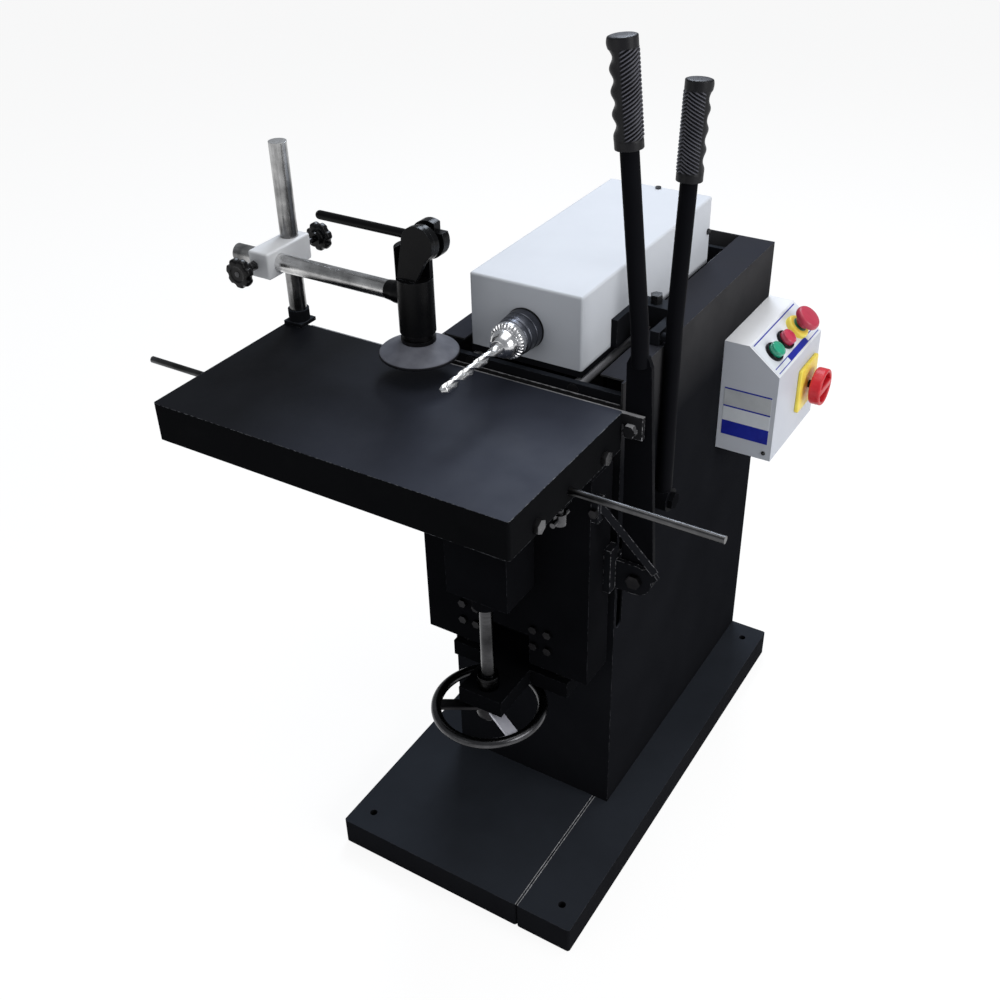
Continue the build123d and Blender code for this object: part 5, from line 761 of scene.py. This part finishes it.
def star_knob(foot, outward, standoff, depth):
    """A lobed knob on its stem, with a nut at its foot and a pin in its top.

    Each ring's radius falls by a clipped cosine of the angle, less so towards the middle."""
    first, second, along = directions(outward)
    profile = softened([(12, -9), (12, -0.5), (20, 0), (KNOB_RADIUS, 3), (KNOB_RADIUS, 11), (21, 14),
                        (13, 14.6), (11.5, 13.2), (7, 13.0), (0.6, 13.0)], 2.2)
    radius, height = profile.T
    angle = np.linspace(0, TURN, KNOB_LOBES * 20, endpoint=False)
    notch = np.clip(0.15 + np.cos(angle * KNOB_LOBES), 0, 1) ** 0.8
    share = rise(radius, 12.5, 20.0)[:, None]
    ring = radius[:, None] - KNOB_NOTCH * share * notch
    foot = np.asarray(foot, float)
    rim = np.cos(angle)[:, None] * first + np.sin(angle)[:, None] * second
    points = foot + ring[..., None] * rim + (standoff + height)[:, None, None] * along
    stem = turned([(KNOB_STEM, -depth), (KNOB_STEM, standoff - 8)], foot, outward, 1, 32)
    nut = turned(softened([(4, 0.3), (8, 0.3), (8, 4.5), (4, 4.5)], 0.6), foot, outward, 1, 6)
    pin = turned(softened([(0.2, 12.5), (4.6, 12.5), (4.6, 13.9), (0.2, 14.2)], 0.5), foot + along * standoff,
                 outward, 1, 32)
    return [skin(points), stem, nut, pin]


piece("arm_star_knob", "arm_knob", [knob_plastic, bolt_steel],
      star_knob(ARM_KNOB, TO_FRONT, ARM_KNOB_STANDOFF, ARM_KNOB_DEPTH), ["arm_knob"])
piece("post_star_knob", "post_knob", [knob_plastic, bolt_steel],
      star_knob(POST_KNOB, TO_BACK, POST_KNOB_STANDOFF, POST_KNOB_DEPTH), ["post_knob"])


# Rubber foot
def rubber_foot():
    """The foot's flared cone with a rounded shoulder, and its dark rim."""
    cone = softened([(59.0, 4.2), (58.6, 5.6), (50, 9.6), (39, 15.0), (28.5, 20.8), (26.5, 22),
                     (20, 22)], 2.5)
    rim = softened([(40, 0), (58.6, 0), (60, 1.2), (60, 3.8), (59.2, 4.6), (52, 4.6)], 1.0)
    origin = (*SLEEVE, FOOT_LOW)
    return [turned(cone, origin, UP, 0, 96), turned(rim, origin, UP, 1, 96)]


piece("rubber_foot", "plunger", [foot_rubber, rim_rubber], rubber_foot(), ["clamp_foot"])


# Collar where the arm meets the sleeve, and how far it is from the sleeve's middle
COLLAR_FROM_SLEEVE = 24.0


def arm_collar():
    """A short cone on the arm that widens to the sleeve."""
    cone = softened([(13.9, -25), (14.3, -24.6), (15.4, -15), (17.0, -8), (17.0, 4), (13.9, 4)], 2.0)
    return turned(cone, (SLEEVE[0] - COLLAR_FROM_SLEEVE, SLEEVE[1], ARM_HEIGHT), TO_RIGHT)


piece("arm_collar", "clamp_arm", [gloss_paint], [arm_collar()])


# Handwheel
RIM_RADIUS = 88.0
RIM_THICK = 8.5
RIM_AROUND = 144
RIM_OVER = 28
SPOKES = 3
SPOKE_TURN = 330.0
SPOKE_FOOT = 16.0
SPOKE_SIZE = (8.0, 20.0, 70.0)


def wheel_rim():
    """A round bar bent to a ring: a circle carried round a circle."""
    around = np.linspace(0, TURN, RIM_AROUND, endpoint=False)[:, None]
    over = np.linspace(0, TURN, RIM_OVER, endpoint=False)[None, :]
    radius = RIM_RADIUS + RIM_THICK * np.cos(over)
    height = np.broadcast_to(-RIM_THICK * np.sin(over), (RIM_AROUND, RIM_OVER))
    points = np.stack((radius * np.cos(around), radius * np.sin(around), height), -1)
    return skin(np.asarray(WHEEL) + points, loop=True)


def wheel_spokes():
    """Flat spokes from the hub to the rim, the first of them in a pale steel that paints a highlight on it,
    the others dark.
    """
    shells = []
    for number in range(SPOKES):
        turn = math.radians(SPOKE_TURN + number * 360.0 / SPOKES)
        out = np.array((math.cos(turn), math.sin(turn), 0.0))
        foot = np.asarray(WHEEL) + out * SPOKE_FOOT
        shells.append(rounded_block(SPOKE_SIZE, 2.0, 1.5, foot, out, UP, 1 if number else 2))
    return shells


def wheel_hub():
    """The hub, waisted between two rounded ends."""
    hub = softened([(11, -16), (19.5, -16), (21, -14), (21, -6), (19, 2), (19, 9), (20, 13.5),
                    (11, 13.5)], 2.0)
    return turned(hub, WHEEL, UP, 1)


piece("lift_handwheel", "lift_screw", [wheel_steel, black_oxide, lit_spoke_steel],
      [wheel_rim(), *wheel_spokes(), wheel_hub()], ["handwheel"])


# Controls on the switch box
ESTOP_COLLAR = 12.0
PLATE_SIZE = (84.0, 84.0, 7.0)
HANDLE_SIZE = (13.0, 56.0, 18.0)
HANDLE_FOOT = 13.5


def slope_spot(y, out):
    """A point on the box's slope at y, moved outward by so much, and the slope's outward direction."""
    normal = np.array((SLOPE_NORMAL[0], 0.0, SLOPE_NORMAL[1]))
    normal /= np.linalg.norm(normal)
    return np.array((SLOPE_MIDDLE[0], y, SLOPE_MIDDLE[1])) + normal * out, normal


def lens_button(name, y, body, finish, node):
    """A round lens with a flat lip and a gently domed middle, on its stem."""
    spot, normal = slope_spot(y, BUTTON_FOOT)
    cap = softened([(4, 0.7), (13.4, 0.7), (14, 1.5), (14, 10.5), (12.9, 12.3), (11.6, 12.3), (11.2, 11.6),
                    (8, 12.5), (4, 12.9), (0.3, 13)], 1.0)
    stem = [(5, -21), (5, 1.2)]
    piece(name, body, [finish, knob_plastic],
          [turned(cap, spot, normal), turned(stem, spot, normal, 1, 32)], [node])


def bezel(y):
    """A black ring that rounds in to the button."""
    spot, normal = slope_spot(y, 0)
    ring = softened([(14.6, 0), (18, 0), (18, 4.4), (16.8, 6), (15.2, 6), (14.6, 5.2), (14.6, 1)], 0.8)
    return turned(ring, spot, normal, loop=True)


lens_button("start_lens", START_Y, "start_button", green_lens, "start_button")
lens_button("stop_lens", STOP_Y, "stop_button", red_lens, "stop_button")
piece("lens_bezels", "frame", [knob_plastic], [bezel(START_Y), bezel(STOP_Y)],
      ["button_bezels"])


def mushroom():
    """The stop mushroom on its stem: a waisted neck under a wide cap with a rolled edge and a low dome."""
    spot, normal = slope_spot(ESTOP_Y, ESTOP_COLLAR + BUTTON_FOOT)
    cap = softened([(5, 9.8), (20.5, 9.8), (22.8, 10.8), (23.5, 13.5), (23.1, 18.5), (20.4, 22.2), (11, 23.7),
                    (0.4, 24)], 2.0)
    neck = softened([(5, 0), (12, 0), (11.2, 5), (12, 11.2), (5, 11.2)], 0.8)
    stem = [(5, -33), (5, 0.5)]
    return [turned(cap, spot, normal, 0, 72), turned(neck, spot, normal, 0, 48),
            turned(stem, spot, normal, 1, 32)]


piece("stop_mushroom", "estop_button", [rose_plastic, knob_plastic], mushroom(),
      ["estop_button"])


def mushroom_ring():
    """The yellow collar with a rounded shoulder, and a thin green ring around the neck."""
    spot, normal = slope_spot(ESTOP_Y, 0)
    collar = softened([(14, 0), (22, 0), (22.5, 0.8), (22.5, 6), (21, 9.6), (18.6, 11), (16, 11.4),
                       (13, 11.4)], 1.5)
    green = softened([(5.6, 9), (13.6, 9), (13.6, 11.9), (5.6, 11.9)], 0.6)
    return [turned(collar, spot, normal, 0, 72), turned(green, spot, normal, 1, 48)]


def switch_plate():
    """The square yellow plate with round corners."""
    return rounded_block(PLATE_SIZE, 6.0, 2.2, (BOX_RIGHT, SWITCH[1], SWITCH[2]), TO_RIGHT, UP)


piece("stop_collar_and_switch_plate", "frame", [yellow_plastic, green_plastic],
      [*mushroom_ring(), switch_plate()], ["switch_backplates"])


def rotary_knob():
    """The main switch: a disc with a rim and a deep well, a handle across the well, and a shaft behind."""
    disc = softened([(5, 10.2), (29, 10.2), (32, 11.2), (33, 13.5), (33, 29), (31.8, 31), (28.6, 31.6),
                     (26.6, 30.2), (25.4, 16), (22, 14.4), (0.3, 14.2)], 1.4)
    foot = (SWITCH[0] + HANDLE_FOOT, SWITCH[1], SWITCH[2])
    handle = rounded_block(HANDLE_SIZE, 4.0, 2.2, foot, TO_RIGHT, UP)
    shaft = softened([(4.6, -24), (4.6, 0.3), (7, 0.6), (7, 11)], 0.4)
    return [turned(disc, SWITCH, TO_RIGHT, 0, 80), handle, turned(shaft, SWITCH, TO_RIGHT, 1, 32)]


piece("main_rotary_knob", "main_switch", [red_plastic, knob_plastic], rotary_knob(),
      ["main_switch"])


# Sheets and a screw on the switch box
SLOPE_SHEET_MARGIN = 2.0
SLOPE_SHEET_THICK = 0.5
FRONT_SHEET_THICK = 0.4
BOX_SCREW_RADIUS = 4.0
BOX_SCREW_HEIGHT = 2.2


def banded_sheet(across, along, bands, origin, right, down, out, thick):
    """A thin flat sheet cut into cells along lines, each cell with a finish by the band that it lies in.

    Each corner is the origin plus so much to the right and down. Across and along are the cutting lines;
    bands is a table of finish numbers, row by row."""
    right, down, out = (np.asarray(v, float) / np.linalg.norm(v) for v in (right, down, out))
    across, along = np.asarray(across, float), np.asarray(along, float)
    grid = np.asarray(origin) + across[None, :, None] * right + along[:, None, None] * down
    front = (grid + out * thick).reshape(-1, 3)
    back = grid.reshape(-1, 3)
    rows, cols = len(along) - 1, len(across) - 1
    row, col = np.meshgrid(np.arange(rows), np.arange(cols), indexing="ij")
    corner = row * (cols + 1) + col
    below = corner + cols + 1
    quads = np.stack((corner, below, below + 1, corner + 1), -1).reshape(-1, 4)
    top = np.arange(cols + 1)
    right_side = np.arange(1, rows + 1) * (cols + 1) + cols
    foot = rows * (cols + 1) + np.arange(cols - 1, -1, -1)
    left_side = np.arange(rows - 1, 0, -1) * (cols + 1)
    edge = np.concatenate((top, right_side, foot, left_side))
    ring = np.stack((back[edge], front[edge]))
    if np.cross(right, down) @ out > 0:
        quads = quads[:, ::-1]
    else:
        ring = ring[:, ::-1]
    shells = [(front, quads[np.asarray(bands).ravel() == n].tolist(), n) for n in np.unique(bands)]
    shells.append((back, quads[:, ::-1].tolist(), 0))
    shells.append(skin(ring, capped=False))
    return shells


def slope_sheet():
    """The pale sheet on the slope: a blue line near its top, two lines and a band between near its foot."""
    spot, normal = slope_spot(BOX_FRONT, 0)
    down = np.array((SLOPE_NORMAL[1], 0.0, -SLOPE_NORMAL[0]))
    down /= np.linalg.norm(down)
    half = SLOPE_WIDTH / 2 - SLOPE_SHEET_MARGIN
    along = np.array([0, 2.0, 4.2, 54.0, 55.6, 57.2, 63.4, 65.0, 66.6, 2 * half]) - half
    across = [3, 8, 14, 62, 146, 195, 200]
    bands = np.zeros((9, 6), int)
    bands[[1, 4, 7], 1:5] = 1
    bands[5:7, 3] = 1
    return banded_sheet(across, along, bands, spot, TO_BACK, down, normal, SLOPE_SHEET_THICK)


def front_sheet():
    """A blank sheet on the box's front: from the top a blue line, grey, a blue line, white, a blue foot."""
    across = [8, 93]
    along = [0, 3, 34, 37, 40, 64, 92]
    bands = np.array([1, 2, 1, 0, 0, 1])[:, None]
    origin = (FRONT_SHEET[0], BOX_FRONT, FRONT_SHEET[1])
    return banded_sheet(across, along, bands, origin, TO_RIGHT, np.negative(UP), TO_FRONT, FRONT_SHEET_THICK)


piece("slope_sheet", "frame", [panel_white, panel_blue], slope_sheet())
piece("front_sheet", "frame", [panel_white, panel_blue, plate_grey], front_sheet())


def pan_screw(origin, outward, radius, height):
    """A low domed screw head with a round well in its middle, as shares of its radius and height."""
    dome = softened([(0.3, -0.3), (radius, -0.3), (radius, height * 0.35), (radius * 0.8, height * 0.85),
                     (radius * 0.5, height), (radius * 0.44, height), (radius * 0.4, height * 0.35),
                     (0.2, height * 0.3)], radius * 0.12)
    return turned(dome, origin, outward, 0, 32)


screw_place = (BOX_SCREW[0], BOX_FRONT, BOX_SCREW[1])
piece("box_screw", "frame", [bolt_steel],
      [pan_screw(screw_place, TO_FRONT, BOX_SCREW_RADIUS, BOX_SCREW_HEIGHT)])


# Pale beads along the seam of the base and the top of the column's front wall, partly a painted highlight
# along these edges
BASE_TOP = 53.0
SEAM_LINES = (126.2, 130.4)
SEAM_FRONT = -426.5
SEAM_BACK = -154.5
SEAM_RADIUS = 0.9
WALL_TOP = 872.0
WALL_FRONT = -153.0
WALL_HALF = 150.0
WALL_RADIUS = 1.1
BEAD_SINK = 0.1
BEAD_WAVER = 0.08


def bead(start, end, radius):
    """A low bead along a level edge: a half circle carried along a line.

    Its radius wavers by a small share, a product of two sines of the length."""
    start, end = np.asarray(start, float), np.asarray(end, float)
    length = np.linalg.norm(end - start)
    first, second, along = directions(end - start, UP)
    reach = np.linspace(0, length, 160)[:, None]
    over = np.linspace(-0.5 * math.pi, 0.5 * math.pi, 13)[None, :]
    waver = radius * (1 + BEAD_WAVER * np.sin(reach * 0.9) * np.sin(reach * 0.23))
    flat = (waver * np.cos(over) - BEAD_SINK)[..., None] * first + (waver * np.sin(over))[..., None] * second
    return skin(start + flat + reach[..., None] * along)


seams = [bead((x, SEAM_FRONT, BASE_TOP), (x, SEAM_BACK, BASE_TOP), SEAM_RADIUS) for x in SEAM_LINES]
wall = bead((-WALL_HALF, WALL_FRONT, WALL_TOP), (WALL_HALF, WALL_FRONT, WALL_TOP), WALL_RADIUS)
piece("edge_glint_beads", "frame", [chipped_glint_paint], [*seams, wall])


# Floor, light and camera, in metres and watts
FLOOR_REACH = 14.0
FLOOR_GLOW = 1.10
FLOOR_GLOW_SHARE = 0.80


def floor_and_backdrop():
    """A wide pale floor that shows nearly white to the camera and keeps the machine's shadow."""
    mesh = bpy.data.meshes.new("floor")
    corners = [(x * FLOOR_REACH, y * FLOOR_REACH, 0) for x, y in ((-1, -1), (1, -1), (1, 1), (-1, 1))]
    mesh.from_pydata(corners, [], [(0, 1, 2, 3)])
    floor = bpy.data.objects.new("floor", mesh)
    bpy.context.scene.collection.objects.link(floor)
    finish, tree, shader = fresh_finish("floor", (0.90, 0.90, 0.90), 0.0, 0.9)
    shader.inputs["Specular IOR Level"].default_value = 0.0
    glow = tree.nodes.new("ShaderNodeEmission")
    glow.inputs["Strength"].default_value = FLOOR_GLOW
    mix = tree.nodes.new("ShaderNodeMixShader")
    rays = tree.nodes.new("ShaderNodeLightPath")
    seen = combine(tree, "MAXIMUM", rays.outputs["Is Camera Ray"], rays.outputs["Is Glossy Ray"])
    tree.links.new(times(tree, seen, FLOOR_GLOW_SHARE), mix.inputs["Fac"])
    tree.links.new(shader.outputs["BSDF"], mix.inputs[1])
    tree.links.new(glow.outputs["Emission"], mix.inputs[2])
    tree.links.new(mix.outputs["Shader"], tree.nodes["Material Output"].inputs["Surface"])
    mesh.materials.append(finish)


def placed(right, up, back, place):
    """The matrix of a thing with these directions at a place."""
    return Matrix(np.vstack((np.column_stack((right, up, back, place)), (0, 0, 0, 1))).tolist())


def soft_light(name, place, target, size, watts, colour=(1.0, 1.0, 1.0)):
    """A soft box, a rectangle of two sizes, at a place and aimed at a target."""
    data = bpy.data.lights.new(name, "AREA")
    data.shape = "RECTANGLE"
    data.size, data.size_y = size
    data.energy = watts
    data.color = colour
    lamp = bpy.data.objects.new(name, data)
    back = np.asarray(place, float) - np.asarray(target, float)
    steep = abs(back[2]) > abs(back[0]) + abs(back[1])
    side, over, out = directions(back, TO_RIGHT if steep else None)
    lamp.matrix_world = placed(over, -side, out, place)
    bpy.context.scene.collection.objects.link(lamp)


def studio():
    """An even pale surround, a wide top light, others from the right and front, and a cool one behind."""
    world = bpy.data.worlds.new("studio")
    world.use_nodes = True
    back = world.node_tree.nodes["Background"]
    back.inputs["Color"].default_value = (0.93, 0.96, 1.0, 1.0)
    back.inputs["Strength"].default_value = 0.30
    bpy.context.scene.world = world
    soft_light("top_light", (0.3, 0.2, 3.4), (0, 0, 0.7), (2.6, 2.2), 35.0)
    soft_light("right_light", (2.9, -0.3, 1.9), (0, 0, 0.8), (1.8, 1.6), 44.0)
    soft_light("front_light", (-0.9, -3.0, 1.3), (0, 0, 0.7), (1.6, 1.6), 6.0)
    soft_light("back_light", (-1.0, 2.2, 3.4), (0.1, -0.4, 0.87), (1.0, 1.2), 54.0, (0.80, 0.88, 1.0))


def camera():
    """The viewpoint: its right, down and forward directions, its place, and its lens."""
    right = (0.85151087, 0.52384352, -0.02274222)
    down = (0.28000475, -0.49096418, -0.82495546)
    ahead = (-0.44331319, 0.69609061, -0.56474001)
    place = (0.80341, -1.50187, 1.73392)
    data = bpy.data.cameras.new("camera")
    data.sensor_width = 36.0
    data.lens = 43.481
    data.clip_end = 100.0
    seen_by = bpy.data.objects.new("camera", data)
    seen_by.matrix_world = placed(right, np.negative(down), np.negative(ahead), place)
    bpy.context.scene.collection.objects.link(seen_by)
    bpy.context.scene.camera = seen_by


floor_and_backdrop()
studio()
camera()
bpy.context.scene.view_settings.view_transform = "Standard"
